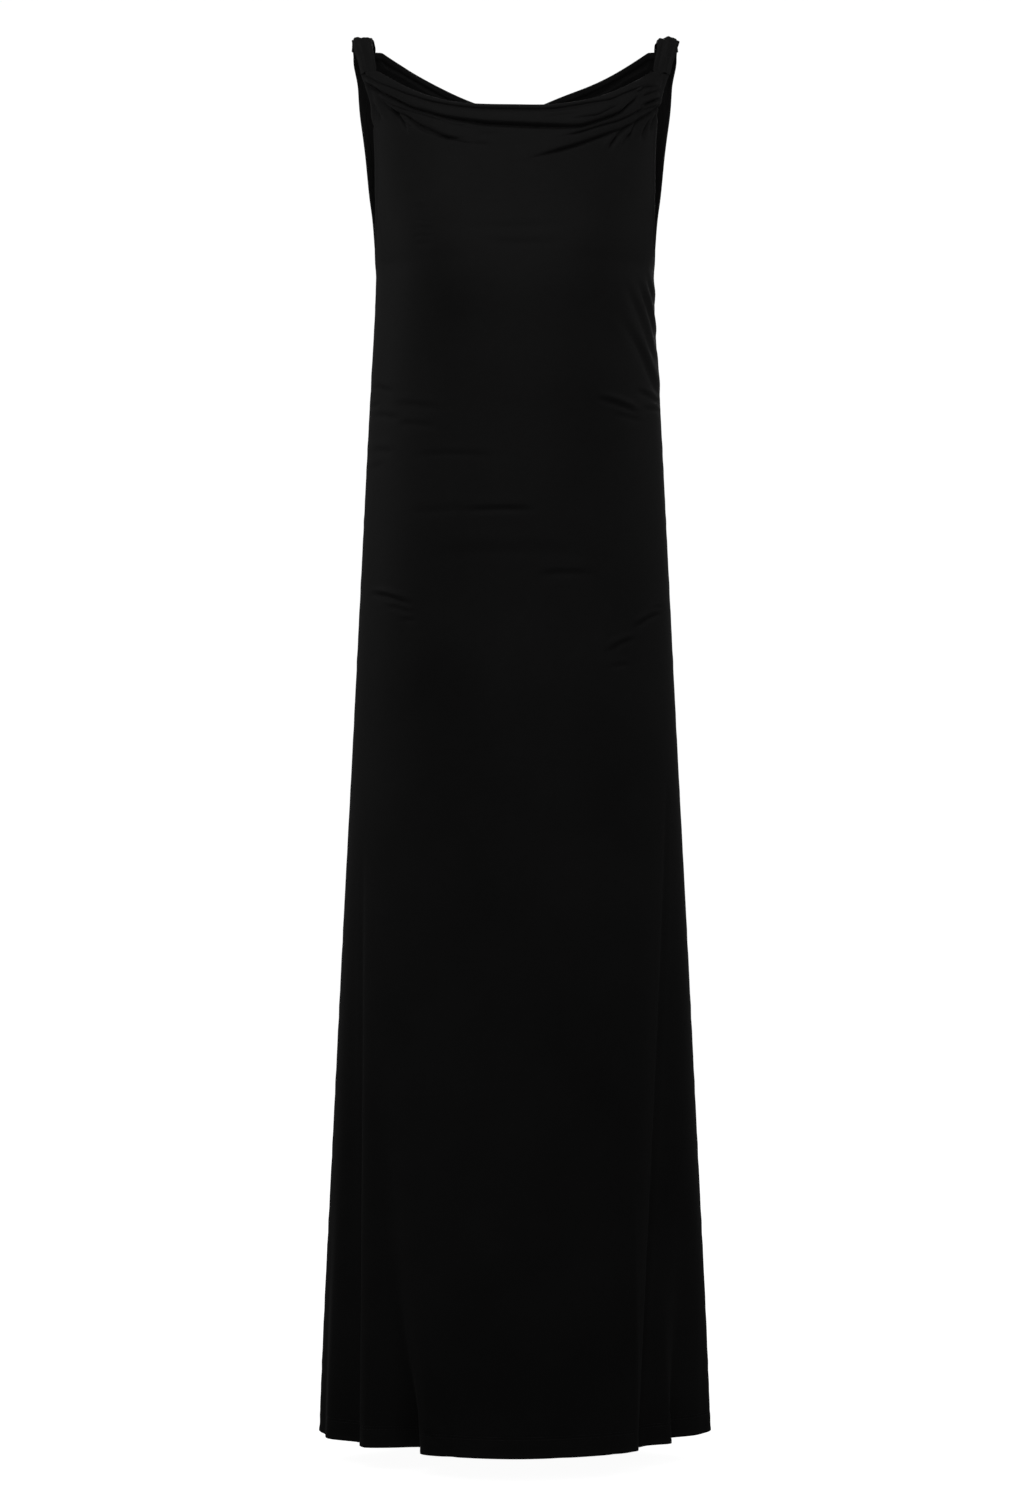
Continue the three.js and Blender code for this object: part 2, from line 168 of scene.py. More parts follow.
BACK_ARMHOLE = LevelTable(
    "z half power out",
    (-242, 142.4, 2.2, 46), (-234, 142.7, 2.22, 46), (-225, 144.8, 2.3, 46),
    (-200, 151.2, 2.5, 46), (-160, 158.3, 2.7, 46), (-110, 165.6, 2.7, 44), (-80, 174, 2.6, 42),
    (-40, 188, 2.3, 34), (-12, 189.3, 2.2, 22), (2, 183.4, 2.2, 14),
)


@dataclass(frozen=True)
class Neckline:
    """The curve of a neckline: its middle height, half width, rise, squareness and strap seam."""

    middle_z: float
    half_width: float
    rise: float
    square: float
    seam_z: float
    uneven: float = 0.0  # how much higher it runs near uneven_x
    uneven_x: float = 0.0
    uneven_width: float = 34.0

    def height(self, x: np.ndarray) -> np.ndarray:
        """Gives the neckline's height, which stops at the strap's seam.

        Args:
            x: places across the panel, in millimetres.

        Returns:
            The heights, in millimetres.
        """
        curve = self.middle_z + self.rise * (np.abs(x) / self.half_width) ** self.square
        curve = curve + self.uneven * bell(x - self.uneven_x, self.uneven_width)
        return np.minimum(self.seam_z, curve)


FRONT_NECK = Neckline(middle_z=-79, half_width=141, rise=47, square=2.6, seam_z=-34)
BACK_NECK = Neckline(
    middle_z=-58, half_width=144, rise=58.6, square=1.45, seam_z=-3, uneven=3.6, uneven_x=48
)


@dataclass(frozen=True)
class Swag:
    """A hanging fold: swollen above its line and drawn in along it."""

    swell: float
    reach: float  # how far above the line it is fullest
    groove: float
    width: float  # of the groove
    fade_left: float
    fade_right: float
    line: tuple[tuple[float, float], ...]  # x, z of the groove

    def lift(self, x: np.ndarray, z: np.ndarray) -> np.ndarray:
        """Gives how far the fold moves the cloth outwards.

        Args:
            x: places across the panel, in millimetres.
            z: their heights.

        Returns:
            The lift at each place, in millimetres.
        """
        line_x, line_z = np.array(self.line, float).T
        level = smooth_read(line_x, line_z, x)
        slope = (smooth_read(line_x, line_z, x + 1) - smooth_read(line_x, line_z, x - 1)) / 2
        above = (z - level) / np.sqrt(1 + slope**2)
        fade = ease((x - line_x[0]) / self.fade_left) * ease((line_x[-1] - x) / self.fade_right)
        up = np.maximum(above, 0.0) / self.reach
        rounded = np.sqrt(up) * np.exp((1 - up) / 2)
        return fade * (self.swell * rounded - self.groove * bell(above, self.width))


COWL_SWAGS = (
    # under the turned edge, right across
    Swag(1.6, 3.5, 2.6, 1.9, 9, 9, (
        (-156.7, -30.7), (-142, -41), (-125, -50.6), (-100, -63.6), (-76, -73), (-43, -79.6),
        (5, -81.6), (37, -80.8), (54, -77.7), (78, -72.2), (94, -68), (111, -58.4), (127, -52),
        (146, -49.8),
    )),
    # the main one
    Swag(4.6, 7, 3.0, 2.3, 12, 14, (
        (-156.6, -41), (-142, -50.5), (-125, -61), (-100, -76.6), (-84, -83), (-67, -89.4),
        (-35, -95.6), (-11, -97.6), (45, -99.8), (61, -99.3), (70, -96.8), (86, -90), (102, -82),
        (111, -73), (127, -57.4),
    )),
    # from below the straps towards the middle
    Swag(2.9, 7, 2.6, 2.2, 12, 62, (
        (-142, -56.7), (-133, -67.5), (-125, -75.7), (-108, -85.6), (-92, -97), (-75, -107),
        (-59, -114), (-27, -121.2),
    )),
    Swag(3.0, 7, 2.4, 2.2, 50, 10, (
        (3, -136.6), (29, -129.6), (61, -119.2), (94, -105), (110, -97.6), (127, -85.6),
        (144, -71.6), (152, -65),
    )),
    # the finer ones that run between them
    Swag(1.7, 4, 2.1, 1.7, 24, 10, (
        (41, -111), (61, -106.4), (86, -97), (102, -91), (118, -81.4), (135, -67), (146, -60.6),
    )),
    Swag(1.2, 3.5, 1.5, 1.5, 20, 12, (
        (45, -91.3), (61, -89.8), (78, -86.6), (86, -82), (102, -72.3),
    )),
    Swag(1.2, 3.5, 1.6, 1.6, 12, 24, (
        (-138, -60.6), (-117, -74.4), (-104, -80.2), (-76, -91.2), (-55, -99.8),
    )),
    Swag(0.9, 4, 1.3, 1.7, 16, 30, (
        (-109, -92), (-92, -103), (-70, -110), (-40, -113),
    )),
)
BACK_SWAGS = (
    Swag(2.6, 11, 1.8, 5, 30, 36, ((-158, -34), (-90, -78), (-12, -96), (80, -80), (158, -38))),
    Swag(1.8, 12, 1.1, 5.4, 40, 40, ((-150, -60), (-70, -108), (20, -128), (80, -114), (128, -92))),
    # just below the neckline
    Swag(1.7, 6, 1.7, 2.6, 14, 40, ((-146, -12), (-120, -23), (-89, -39), (-58, -53), (-20, -68))),
    Swag(1.5, 6, 1.5, 2.6, 36, 14, ((30, -70), (62, -55), (92, -40), (122, -24), (146, -14))),
)


@dataclass(frozen=True)
class Flute:
    """An upright fold of the skirt, by its angle in degrees round the tube from the front's middle."""

    top_angle: float
    hem_angle: float
    from_z: float
    depth: float  # at the hem
    growth: float  # the power by which it deepens downwards
    inner: float  # its width towards the middle of the front
    outer: float  # its width away from it

    def lift(self, angle: np.ndarray, z: np.ndarray) -> np.ndarray:
        """Gives how far the flute moves the cloth outwards, which is negative for a trough.

        Args:
            angle: degrees round the tube from the middle of the front.
            z: heights in millimetres.

        Returns:
            The lift at each place, in millimetres.
        """
        down = np.clip((self.from_z - z) / (self.from_z - HEM_Z), 0.0, 1.0)
        middle = mix(self.top_angle, self.hem_angle, down)
        off = (angle - middle + 540) % 360 - 180
        width = np.where(off * np.sign(middle) > 0, self.outer, self.inner)
        return -self.depth * down**self.growth * bell(off, width)


FLUTES = (
    Flute(-73, -72.5, -820, 16, 1, 4.5, 4.5),
    Flute(-61.5, -54.5, -960, 31, 1.9, 8, 6.2),
    Flute(-48, -49, -1290, 14, 1.4, 5, 6),
    Flute(73, 63.5, -740, 22, 1.1, 9, 7),
    Flute(75, 78, -1120, 32, 1.4, 6, 5),
    Flute(118, 114, -740, 26, 1.35, 8, 9),
    Flute(147, 151, -860, 20, 1.35, 9, 8),
    Flute(-160, -164, -800, 24, 1.35, 9, 9),
    Flute(-121, -117, -700, 28, 1.35, 9, 8),
    # narrow pleats that only the cloth shows
    Flute(-70.5, -70, -830, 4.5, 0.5, 1.5, 1.5),
    Flute(72, 58.5, -760, 3.6, 0.5, 1.4, 1.4),
    Flute(-64, -63.5, -1240, -3.0, 0.8, 1.5, 1.5),
    Flute(-78, -79.5, -1100, -2.6, 0.9, 2.0, 2.0),
    Flute(-83, -84.5, -1180, 3.2, 1.2, 1.8, 2.2),
    Flute(46, 43, -1000, 1.5, 0.9, 1.8, 2.4),
    Flute(50, 54, -1060, -2.4, 0.9, 1.8, 1.5),
    Flute(68, 70.5, -1230, -2.8, 1.0, 1.8, 1.8),
    Flute(84, 85.5, -1240, 3.0, 1.3, 2.0, 1.6),
    Flute(-30, -28, -1330, 2.2, 1.2, 2.4, 3.2),
    Flute(18, 20, -1345, 1.2, 1.2, 4.0, 3.0),
    Flute(96, 97, -980, 4.5, 1.2, 3.2, 2.4),
    Flute(-97, -98.5, -1020, 5.0, 1.2, 2.6, 3.4),
    Flute(132, 131, -1150, -2.4, 1.1, 2.4, 2.0),
    Flute(178, 176, -1090, 4.0, 1.3, 4.0, 5.0),
    Flute(-141, -140, -1180, -3.0, 1.1, 2.2, 2.6),
)


CREASE_FADES_OVER = 0.35  # the share of a crease's length that each end takes to fade
RIDGE_AWAY, RIDGE_WIDTH = 2.1, 1.3  # the ridge beside a trough, in widths of the trough


@dataclass(frozen=True)
class Crease:
    """A soft trough or, where its depth is negative, a ridge between two points of a panel."""

    start_x: float
    start_z: float
    end_x: float
    end_z: float
    bow: float  # how far its middle stands off the straight line
    width: float
    depth: float
    ridge: float = 0.55  # how high the ridge beside it is, as a share of the depth

    def lift(self, x: np.ndarray, z: np.ndarray) -> np.ndarray:
        """Gives how far the crease moves the cloth outwards.

        Args:
            x: places across the panel, in millimetres.
            z: their heights.

        Returns:
            The lift at each place, in millimetres.
        """
        run_x, run_z = self.end_x - self.start_x, self.end_z - self.start_z
        long = math.hypot(run_x, run_z)
        along = ((x - self.start_x) * run_x + (z - self.start_z) * run_z) / long**2
        off = ((z - self.start_z) * run_x - (x - self.start_x) * run_z) / long
        held = np.clip(along, 0.0, 1.0)
        off = off - self.bow * 4 * held * (1 - held)
        fade = ease(along / CREASE_FADES_OVER) * ease((1 - along) / CREASE_FADES_OVER)
        beside = bell(off - RIDGE_AWAY * self.width, RIDGE_WIDTH * self.width)
        return fade * self.depth * (self.ridge * beside - bell(off, self.width))


FRONT_CREASES = (
    # beside the straps and below the cowl
    Crease(-128, -71, -108, -107, 2, 2.0, 3.6),
    Crease(-119, -81, -103, -105, 1, 1.7, 2.3),
    Crease(-112, -84, -95, -102, 0, 1.6, 1.9),
    Crease(-104, -90, -86, -105, 0, 1.6, 1.6),
    Crease(-66, -98, -38, -98.5, -1, 1.9, 1.2),
    Crease(-38, -107, -12, -107, -1, 2.2, 0.8),
    Crease(-44, -118, -22, -119, 0, 2.2, 1.0),
    Crease(93, -125, 113, -97, 2, 2.0, 3.6, 0.5),
    Crease(105, -123, 119, -99, 1, 1.7, 1.9),
    Crease(114, -112, 126, -87, 1, 1.7, 2.8),
    Crease(127, -110, 141, -79, 1.5, 1.7, 3.0),
    Crease(136, -101, 148, -71, 1, 1.6, 2.4),
    Crease(112, -47, 141, -35, -1, 1.8, 2.0),
    Crease(123, -65, 149, -51, 1, 1.6, 2.6),
    Crease(121, -75, 149, -60, 1, 1.6, 2.6),
    Crease(118, -83, 147, -68, 1, 1.6, 2.1),
    Crease(-147, -60, -133, -89, -1, 1.8, 1.9),
    Crease(-153, -68, -141, -97, -1, 1.8, 1.6),
    Crease(24, -90, 66, -85, -1, 2.0, 1.0),
    # over and under the bust
    Crease(-106, -181, -80, -186, 1, 1.9, 1.1),
    Crease(-105, -188, -78, -193, 1, 1.9, 1.4),
    Crease(-103, -195, -77, -200, 1, 1.9, 1.7),
    Crease(-102, -202, -77, -207, 1, 1.9, 1.7),
    Crease(-100, -210, -78, -215, 1, 2.0, 1.4),
    Crease(-98, -218, -79, -222, 1, 2.0, 1.1),
    Crease(-70, -203, 62, -201, -3, 4.0, 0.7),
    Crease(-44, -219, 54, -220, -2, 4.0, 0.7),
    # from the left underarm
    Crease(104, -250, 146, -352, 6, 3.4, 1.8),
    Crease(118, -244, 148, -330, 5, 2.8, 2.6),
    Crease(130, -240, 147, -300, 3, 2.4, 2.0),
    Crease(98, -282, 146, -372, 5, 4.0, 1.2),
    Crease(114, -300, 148, -374, 3, 3.0, 1.6),
    # the waist
    Crease(78, -373, 128, -388, 2, 2.2, 2.2, 0.9),
    Crease(96, -390, 132, -396, 2, 2.4, 0.9),
    Crease(120, -363, 150, -373, 1, 2.4, 1.4),
    Crease(128, -382, 150, -379, 1, 2.0, 1.0),
    Crease(-150, -355, -122, -367, 2, 2.4, 1.4),
    Crease(-150, -374, -136, -376, 0, 2.0, 0.9),
    Crease(-150, -385, -114, -395, 2, 2.8, 1.0),
    Crease(-128, -378, -70, -388, 3, 3.0, 0.9),
    Crease(-124, -398, -76, -404, 2, 3.0, 0.9),
    Crease(-151, -421, -120, -427, 1, 3.2, 0.9),
    Crease(-151, -440, -130, -437, 0, 3.0, 0.6),
    Crease(-112, -431, -14, -434, 2, 3.0, 0.6),
    Crease(-60, -488.5, 26, -487.5, 2, 2.6, 1.2),
    Crease(-112, -486, -40, -484, -2, 4.2, 0.6),
    Crease(19, -552, 83, -551, 2, 2.6, 1.2),
    Crease(-104, -531, 92, -530, 3, 5.0, 0.6),
    # the hips
    Crease(-150, -567, -102, -583, 3, 2.0, 2.7, 0.8),
    Crease(-133, -580, -99, -592, 2, 1.9, 1.4),
    Crease(-116, -594, -98, -597, 0, 1.9, 0.96),
    Crease(90, -632, 124, -613, 3, 2.2, 1.9, 0.8),
    Crease(94, -644, 118, -640, 1, 2.0, 0.96),
    Crease(119, -606, 152, -586, 3, 2.0, 2.4, 0.8),
    Crease(131, -590, 153, -579, 1, 1.9, 1.1),
    # small marks low on the skirt
    Crease(-133, -917, -115, -919, 1, 2.0, -1.1),
    Crease(-92, -1402, -78, -1421, 2, 2.4, 1.6),
    Crease(-86, -1396, -72, -1408, 1, 2.2, -1.1),
    Crease(168, -1392, 179, -1400, 1, 2.4, 1.6),
)
BACK_CREASES = (
    Crease(-146, -4, -128, -27, 2, 2.2, 1.6),
    Crease(-118, -12, -74, -40, -2, 2.2, 1.1),
    Crease(146, -6, 131, -30, -2, 2.2, 1.4),
    Crease(108, -20, 70, -44, 2, 2.2, 1.0),
    Crease(136, -268, 88, -300, -3, 3.0, 1.5),
    Crease(-138, -262, -96, -306, 3, 3.0, 1.3),
    Crease(-141, -290, -108, -330, 3, 3.0, 1.2),
    Crease(-138, -316, 118, -342, 8, 6.2, 1.1),
    Crease(-96, -371, 142, -346, 7, 5.6, 1.0),
    Crease(-146, -384, 72, -400, 6, 5.6, 0.9),
    Crease(148, -372, 96, -386, -2, 2.4, 1.2),
    Crease(-149, -364, -104, -376, 2, 2.4, 1.1),
    Crease(-70, -438, 128, -424, 4, 5.6, 0.6),
    Crease(152, -572, 104, -590, -3, 2.2, 1.3, 0.8),
    Crease(-154, -590, -112, -612, 3, 2.2, 1.2, 0.8),
    Crease(-60, -620, 66, -617, 4, 5.0, 0.5),
)

BUST_X, BUST_Z, BUST_SWELL, BUST_WIDTH, BUST_HEIGHT = 88.0, -222.0, 7.0, 50.0, 52.0
TOP_EDGE_ROUNDS = 12

# The cowl's edge is turned in with this radius, with the small one where the strap begins.
ROLL_RADIUS, ROLL_SMALL, ROLL_FULL_WITHIN, ROLL_SMALL_BEYOND = 2.2, 0.9, 122.0, 137.0


@dataclass(frozen=True)
class PanelShape:
    """The middle surface of one panel, as a function of a column u and a height z."""

    facing: Facing
    profile: LevelTable
    armhole: LevelTable
    neck: Neckline
    swags: tuple[Swag, ...]
    creases: tuple[Crease, ...]

    def armhole_out(self, z: np.ndarray) -> np.ndarray:
        """Gives the armhole's width on this panel: a round foot first, and then the table.

        Args:
            z: heights in millimetres.

        Returns:
            How far its edge stands from the side seam at each height, in millimetres.
        """
        below = np.clip((ARMHOLE_TURN_Z - z) / (ARMHOLE_TURN_Z - UNDERARM_Z), 0.0, 1.0)
        out = self.armhole.at("out", z) * (1 - below**2) ** ARMHOLE_TURN_POWER
        return np.where(z <= UNDERARM_Z, 0.0, out)

    def at(self, u: np.ndarray, z: np.ndarray) -> np.ndarray:
        """Places points of the panel.

        Args:
            u: the column, from -1 at one side edge to 1 at the other.
            z: the height in millimetres.

        Returns:
            The points, in millimetres, with one more axis of three.
        """
        above = z > UNDERARM_Z
        reach = self.profile.at("reach", z)
        power = np.where(above, self.armhole.at("power", z), SIDES.at("power", z))
        half = np.where(above, self.armhole.at("half", z), SIDES.at("half", z))
        out = self.armhole_out(z)
        side = half * (1 - (out / reach) ** power) ** (1 / power)
        even_angle = np.arctan2(side, out) * (u + COLUMN_CROWDING * (u - u**3))
        across = np.abs(side * u)
        behind = reach * np.clip(1 - (across / half) ** power, 0.0, 1.0) ** (1 / power)
        even_across = np.arctan2(across, behind) * np.sign(u)
        angle = mix(even_angle, even_across, ease((z - UNDERARM_Z) / COLUMNS_LEVEL_WITHIN))
        sine, cosine = np.sin(angle), np.cos(angle)
        oval = (np.abs(sine) / half) ** power + (np.abs(cosine) / reach) ** power
        radius = oval ** (-1 / power)
        way = self.facing.value
        x = -way * radius * sine
        turned = np.degrees(angle) + (0 if self.facing is Facing.FRONT else 180)
        radius = radius + sum(flute.lift(turned, z) for flute in FLUTES)
        radius = radius + np.where(above, sum(swag.lift(x, z) for swag in self.swags), 0.0)
        radius = radius + sum(crease.lift(x, z) for crease in self.creases)
        if self.facing is Facing.FRONT:
            bust = BUST_SWELL * bell(np.abs(x) - BUST_X, BUST_WIDTH) * bell(z - BUST_Z, BUST_HEIGHT)
            radius = radius + bust * cosine
        y = way * (radius * cosine + SEAM_GAP / 2)
        return np.stack([-way * radius * sine, y, z + 0 * radius], axis=-1)

    def top_z(self, u: np.ndarray) -> np.ndarray:
        """Finds the panel's top edge, whose height and place across depend on each other.

        Args:
            u: the columns.

        Returns:
            The edge's height at each column, in millimetres.
        """
        z = np.full_like(u, self.neck.seam_z)
        for _ in range(TOP_EDGE_ROUNDS):
            z = self.neck.height(self.at(u, z)[..., 0])
        return z


FRONT_SHAPE = PanelShape(
    Facing.FRONT, FRONT_PROFILE, FRONT_ARMHOLE, FRONT_NECK, COWL_SWAGS, FRONT_CREASES
)
BACK_SHAPE = PanelShape(
    Facing.BACK, BACK_PROFILE, BACK_ARMHOLE, BACK_NECK, BACK_SWAGS, BACK_CREASES
)


def unit(vectors: np.ndarray) -> np.ndarray:
    """The vectors along the last axis, made one long."""
    return vectors / np.maximum(np.linalg.norm(vectors, axis=-1, keepdims=True), 1e-9)


def grid_normals(points: np.ndarray) -> np.ndarray:
    """Outward unit normals of a grid of points, rows upwards."""
    return unit(np.cross(np.gradient(points, axis=1), np.gradient(points, axis=0)))


def arc_along(points: np.ndarray, axis: int) -> np.ndarray:
    """Measures a grid of points along one axis.

    Args:
        points: the grid, rows by columns by 3.
        axis: 0 to measure up the columns, 1 to measure along the rows.

    Returns:
        The running length at each point, from 0.
    """
    step = np.linalg.norm(np.diff(points, axis=axis), axis=-1)
    start = np.zeros_like(np.take(step, [0], axis=axis))
    return np.cumsum(np.concatenate([start, step], axis=axis), axis=axis)


# Finishes


def new_material(name: str, specular: float, roughness: float) -> bpy.types.Material:
    """Makes a node material.

    Args:
        name: its name.
        specular: the shader's specular level.
        roughness: the shader's roughness.

    Returns:
        The material, whose shader is the node named Principled BSDF.
    """
    material = bpy.data.materials.new(name)
    material.use_nodes = True
    shader = material.node_tree.nodes["Principled BSDF"]
    shader.inputs["Specular IOR Level"].default_value = specular
    shader.inputs["Roughness"].default_value = roughness
    return material


def add_node(
    material: bpy.types.Material, kind: str, output: str | int, inputs: dict, **options: str
) -> bpy.types.NodeSocket:
    """Adds a node to a material.

    Args:
        material: the material.
        kind: the node's type, without its first word.
        output: which of its outputs is wanted.
        inputs: a value, or another node's output, for each input that isn't left as it is.
        options: the node's own settings, which are set before its inputs.

    Returns:
        The output.
    """
    node = material.node_tree.nodes.new(f"ShaderNode{kind}")
    for option, value in options.items():
        setattr(node, option, value)
    fill_inputs(material, node, inputs)
    return node.outputs[output]


def fill_inputs(material: bpy.types.Material, node: bpy.types.Node, inputs: dict) -> None:
    """Gives a node's inputs their values, or links them to other nodes' outputs.

    Args:
        material: the material that holds the node.
        node: the node.
        inputs: a value or an output for each input's name or number.
    """
    for key, value in inputs.items():
        if isinstance(value, bpy.types.NodeSocket):
            material.node_tree.links.new(value, node.inputs[key])
        else:
            node.inputs[key].default_value = value


@dataclass(frozen=True)
class JerseyFinish:
    """Black fine-gauge jersey: knit relief on the cut's own UV map, soft sheen, uneven tone."""

    name: str = "black_jersey"
    base: tuple[float, ...] = (0.0076, 0.0075, 0.0075, 1.0)
    lighter: tuple[float, ...] = (0.0116, 0.0115, 0.0115, 1.0)
    worn: tuple[float, ...] = (0.020, 0.020, 0.020, 1.0)
    sheen_tint: tuple[float, ...] = (0.78, 0.77, 0.77, 1.0)
    wale: float = 0.00095  # the knit's pitch across, in metres
    course: float = 0.00075  # and along
    course_shift: float = 0.4
    knit_depth: float = 0.00012
    fuzz_depth: float = 0.00025

    def wave(
        self,
        material: bpy.types.Material,
        along: bpy.types.NodeSocket,
        pitch: float,
        shift: float,
    ) -> bpy.types.NodeSocket:
        """Adds a wave of the cut's UV map.

        Args:
            material: the material.
            along: the distance along one axis of the cut, in metres.
            pitch: the wave's length, in metres.
            shift: its shift, as an angle.

        Returns:
            The wave, from 0 to 1.
        """
        turn = add_node(
            material, "Math", 0, {0: along, 1: 2 * math.pi / pitch, 2: shift},
            operation="MULTIPLY_ADD",
        )
        cosine = add_node(material, "Math", 0, {0: turn}, operation="COSINE")
        return add_node(
            material, "Math", 0, {0: cosine, 1: 0.5, 2: 0.5}, operation="MULTIPLY_ADD"
        )

    def knit(self, material: bpy.types.Material) -> bpy.types.NodeSocket:
        """Adds the height of the knit: rounded loops in upright ribs.

        Args:
            material: the material.

        Returns:
            The height.
        """
        cut = add_node(material, "UVMap", "UV", {}, uv_map="cut")
        across = add_node(material, "SeparateXYZ", "X", {"Vector": cut})
        up = across.node.outputs["Y"]
        column = self.wave(material, across, self.wale, 0.0)
        row = self.wave(material, up, self.course, self.course_shift)
        rib = self.wave(material, across, self.wale, math.pi)
        loops = add_node(material, "Math", 0, {0: column, 1: row}, operation="MULTIPLY")
        return add_node(material, "Math", 0, {0: loops, 1: rib}, operation="ADD")

    def material(self) -> bpy.types.Material:
        """Builds the node material.

        Returns:
            The jersey's material.
        """
        mat = new_material(self.name, specular=0.12, roughness=0.63)
        place = add_node(mat, "TexCoord", "Object", {})
        broad = add_node(
            mat, "TexNoise", "Fac",
            {"Vector": place, "Scale": 7.0, "Detail": 4.0, "Roughness": 0.6},
        )
        fine = add_node(mat, "TexNoise", "Fac", {"Vector": place, "Scale": 420.0, "Detail": 3.0})
        spread = add_node(
            mat, "MapRange", "Result", {"Value": broad, "From Min": 0.32, "From Max": 0.72}
        )
        tone = add_node(
            mat, "Mix", "Result", {"Factor": spread, "A": self.base, "B": self.lighter},
            data_type="RGBA",
        )
        edge = add_node(mat, "Attribute", "Fac", {}, attribute_name="edge_wear")
        wear = add_node(mat, "Math", 0, {0: edge, 1: fine}, operation="MULTIPLY")
        colour = add_node(
            mat, "Mix", "Result", {"Factor": wear, "A": tone, "B": self.worn}, data_type="RGBA"
        )
        matt = add_node(mat, "MapRange", "Result", {"Value": broad, "To Min": 0.56, "To Max": 0.70})
        relief = add_node(
            mat, "Bump", "Normal",
            {"Height": self.knit(mat), "Strength": 0.35, "Distance": self.knit_depth},
        )
        fuzz = add_node(
            mat, "Bump", "Normal",
            {"Height": fine, "Strength": 0.18, "Distance": self.fuzz_depth, "Normal": relief},
        )
        dressed = {
            "Base Color": colour, "Roughness": matt, "Normal": fuzz, "IOR": 1.45,
            "Sheen Weight": 0.03, "Sheen Roughness": 0.42, "Sheen Tint": self.sheen_tint,
        }
        fill_inputs(mat, mat.node_tree.nodes["Principled BSDF"], dressed)
        return mat


@dataclass(frozen=True)
class ThreadFinish:
    """Black polyester sewing thread with a twisted ply."""

    name: str = "black_thread"
    base: tuple[float, ...] = (0.010, 0.010, 0.011, 1.0)
    lighter: tuple[float, ...] = (0.013, 0.013, 0.014, 1.0)

    def material(self) -> bpy.types.Material:
        """Builds the node material.

        Returns:
            The thread's material.
        """
        mat = new_material(self.name, specular=0.25, roughness=0.45)
        place = add_node(mat, "TexCoord", "Object", {})
        ply = add_node(
            mat, "TexWave", "Fac", {"Vector": place, "Scale": 900.0, "Distortion": 1.5},
            bands_direction="DIAGONAL",
        )
        tone = add_node(
            mat, "Mix", "Result", {"Factor": ply, "A": self.base, "B": self.lighter},
            data_type="RGBA",
        )
        twist = add_node(mat, "Bump", "Normal", {"Height": ply, "Strength": 0.4, "Distance": 0.0001})
        fill_inputs(
            mat, mat.node_tree.nodes["Principled BSDF"], {"Base Color": tone, "Normal": twist}
        )
        return mat


@dataclass(frozen=True)
class FloorFinish:
    """A plain pale studio floor, bright by itself, so that only soft shade shows on it."""

    name: str = "pale_floor"
    base: tuple[float, ...] = (0.55, 0.55, 0.55, 1.0)
    glow: float = 0.96

    def material(self) -> bpy.types.Material:
        """Builds the floor's material.

        Returns:
            The white matt material.
        """
        mat = new_material(self.name, specular=0.0, roughness=0.9)
        white = {
            "Base Color": self.base, "Emission Color": (1.0, 1.0, 1.0, 1.0),
            "Emission Strength": self.glow,
        }
        fill_inputs(mat, mat.node_tree.nodes["Principled BSDF"], white)
        return mat


# Meshes


def lay_cloth(
    name: str,
    points: np.ndarray,
    wear: np.ndarray,
    turned: np.ndarray | None = None,
    closed: bool = False,
) -> bpy.types.Object:
    """Lays a grid of cloth on given places, with its cut as a UV map in metres.

    Args:
        name: the piece's name.
        points: places in millimetres, as rows by columns by 3, with the outward side to the front.
        wear: how worn the cloth is at each point, 0 to 1.
        turned: how thick the wall is at each point, 0 to 1, kept as a vertex group, or none.
        closed: whether the last column lies on the first, as on a tube.

    Returns:
        The object, linked to the scene, at the origin.
    """
    rows, columns = points.shape[0] - 1, points.shape[1] - 1
    shell = bmesh.new()
    shell.loops.layers.uv.new("cut")
    bmesh.ops.create_grid(shell, x_segments=columns, y_segments=rows, size=1.0)
    mesh = bpy.data.meshes.new(name)
    shell.to_mesh(mesh)
    shell.free()
    flat = np.empty(len(mesh.vertices) * 3, np.float32)
    mesh.vertices.foreach_get("co", flat)
    flat = flat.reshape(-1, 3)
    column = np.rint((flat[:, 0] + 1) / 2 * columns).astype(int)
    row = np.rint((flat[:, 1] + 1) / 2 * rows).astype(int)
    mesh.vertices.foreach_set("co", (points[row, column] * MM).astype(np.float32).ravel())
    across = arc_along(points, 1)
    across = across - across[:, [columns // 2]]
    cut = np.stack([across, arc_along(points, 0)], axis=-1) * MM
    corner = np.empty(len(mesh.loops), np.int32)
    mesh.loops.foreach_get("vertex_index", corner)
    mesh.uv_layers["cut"].data.foreach_set(
        "uv", cut[row[corner], column[corner]].astype(np.float32).ravel()
    )
    worn = mesh.attributes.new("edge_wear", "FLOAT", "POINT")
    worn.data.foreach_set("value", wear[row, column].astype(np.float32))
    mesh.polygons.foreach_set("use_smooth", np.ones(len(mesh.polygons), bool))
    mesh.update()
    if closed:
        tube = bmesh.new()
        tube.from_mesh(mesh)
        bmesh.ops.remove_doubles(tube, verts=tube.verts, dist=1e-6)
        tube.to_mesh(mesh)
        tube.free()
    piece = bpy.data.objects.new(name, mesh)
    bpy.context.scene.collection.objects.link(piece)
    if turned is not None:
        group = piece.vertex_groups.new(name=TURNED_GROUP)
        level = np.rint(turned[row, column] * TURNED_STEPS)
        for step in range(1, TURNED_STEPS + 1):
            group.add(np.nonzero(level == step)[0].tolist(), step / TURNED_STEPS, "REPLACE")
    return piece


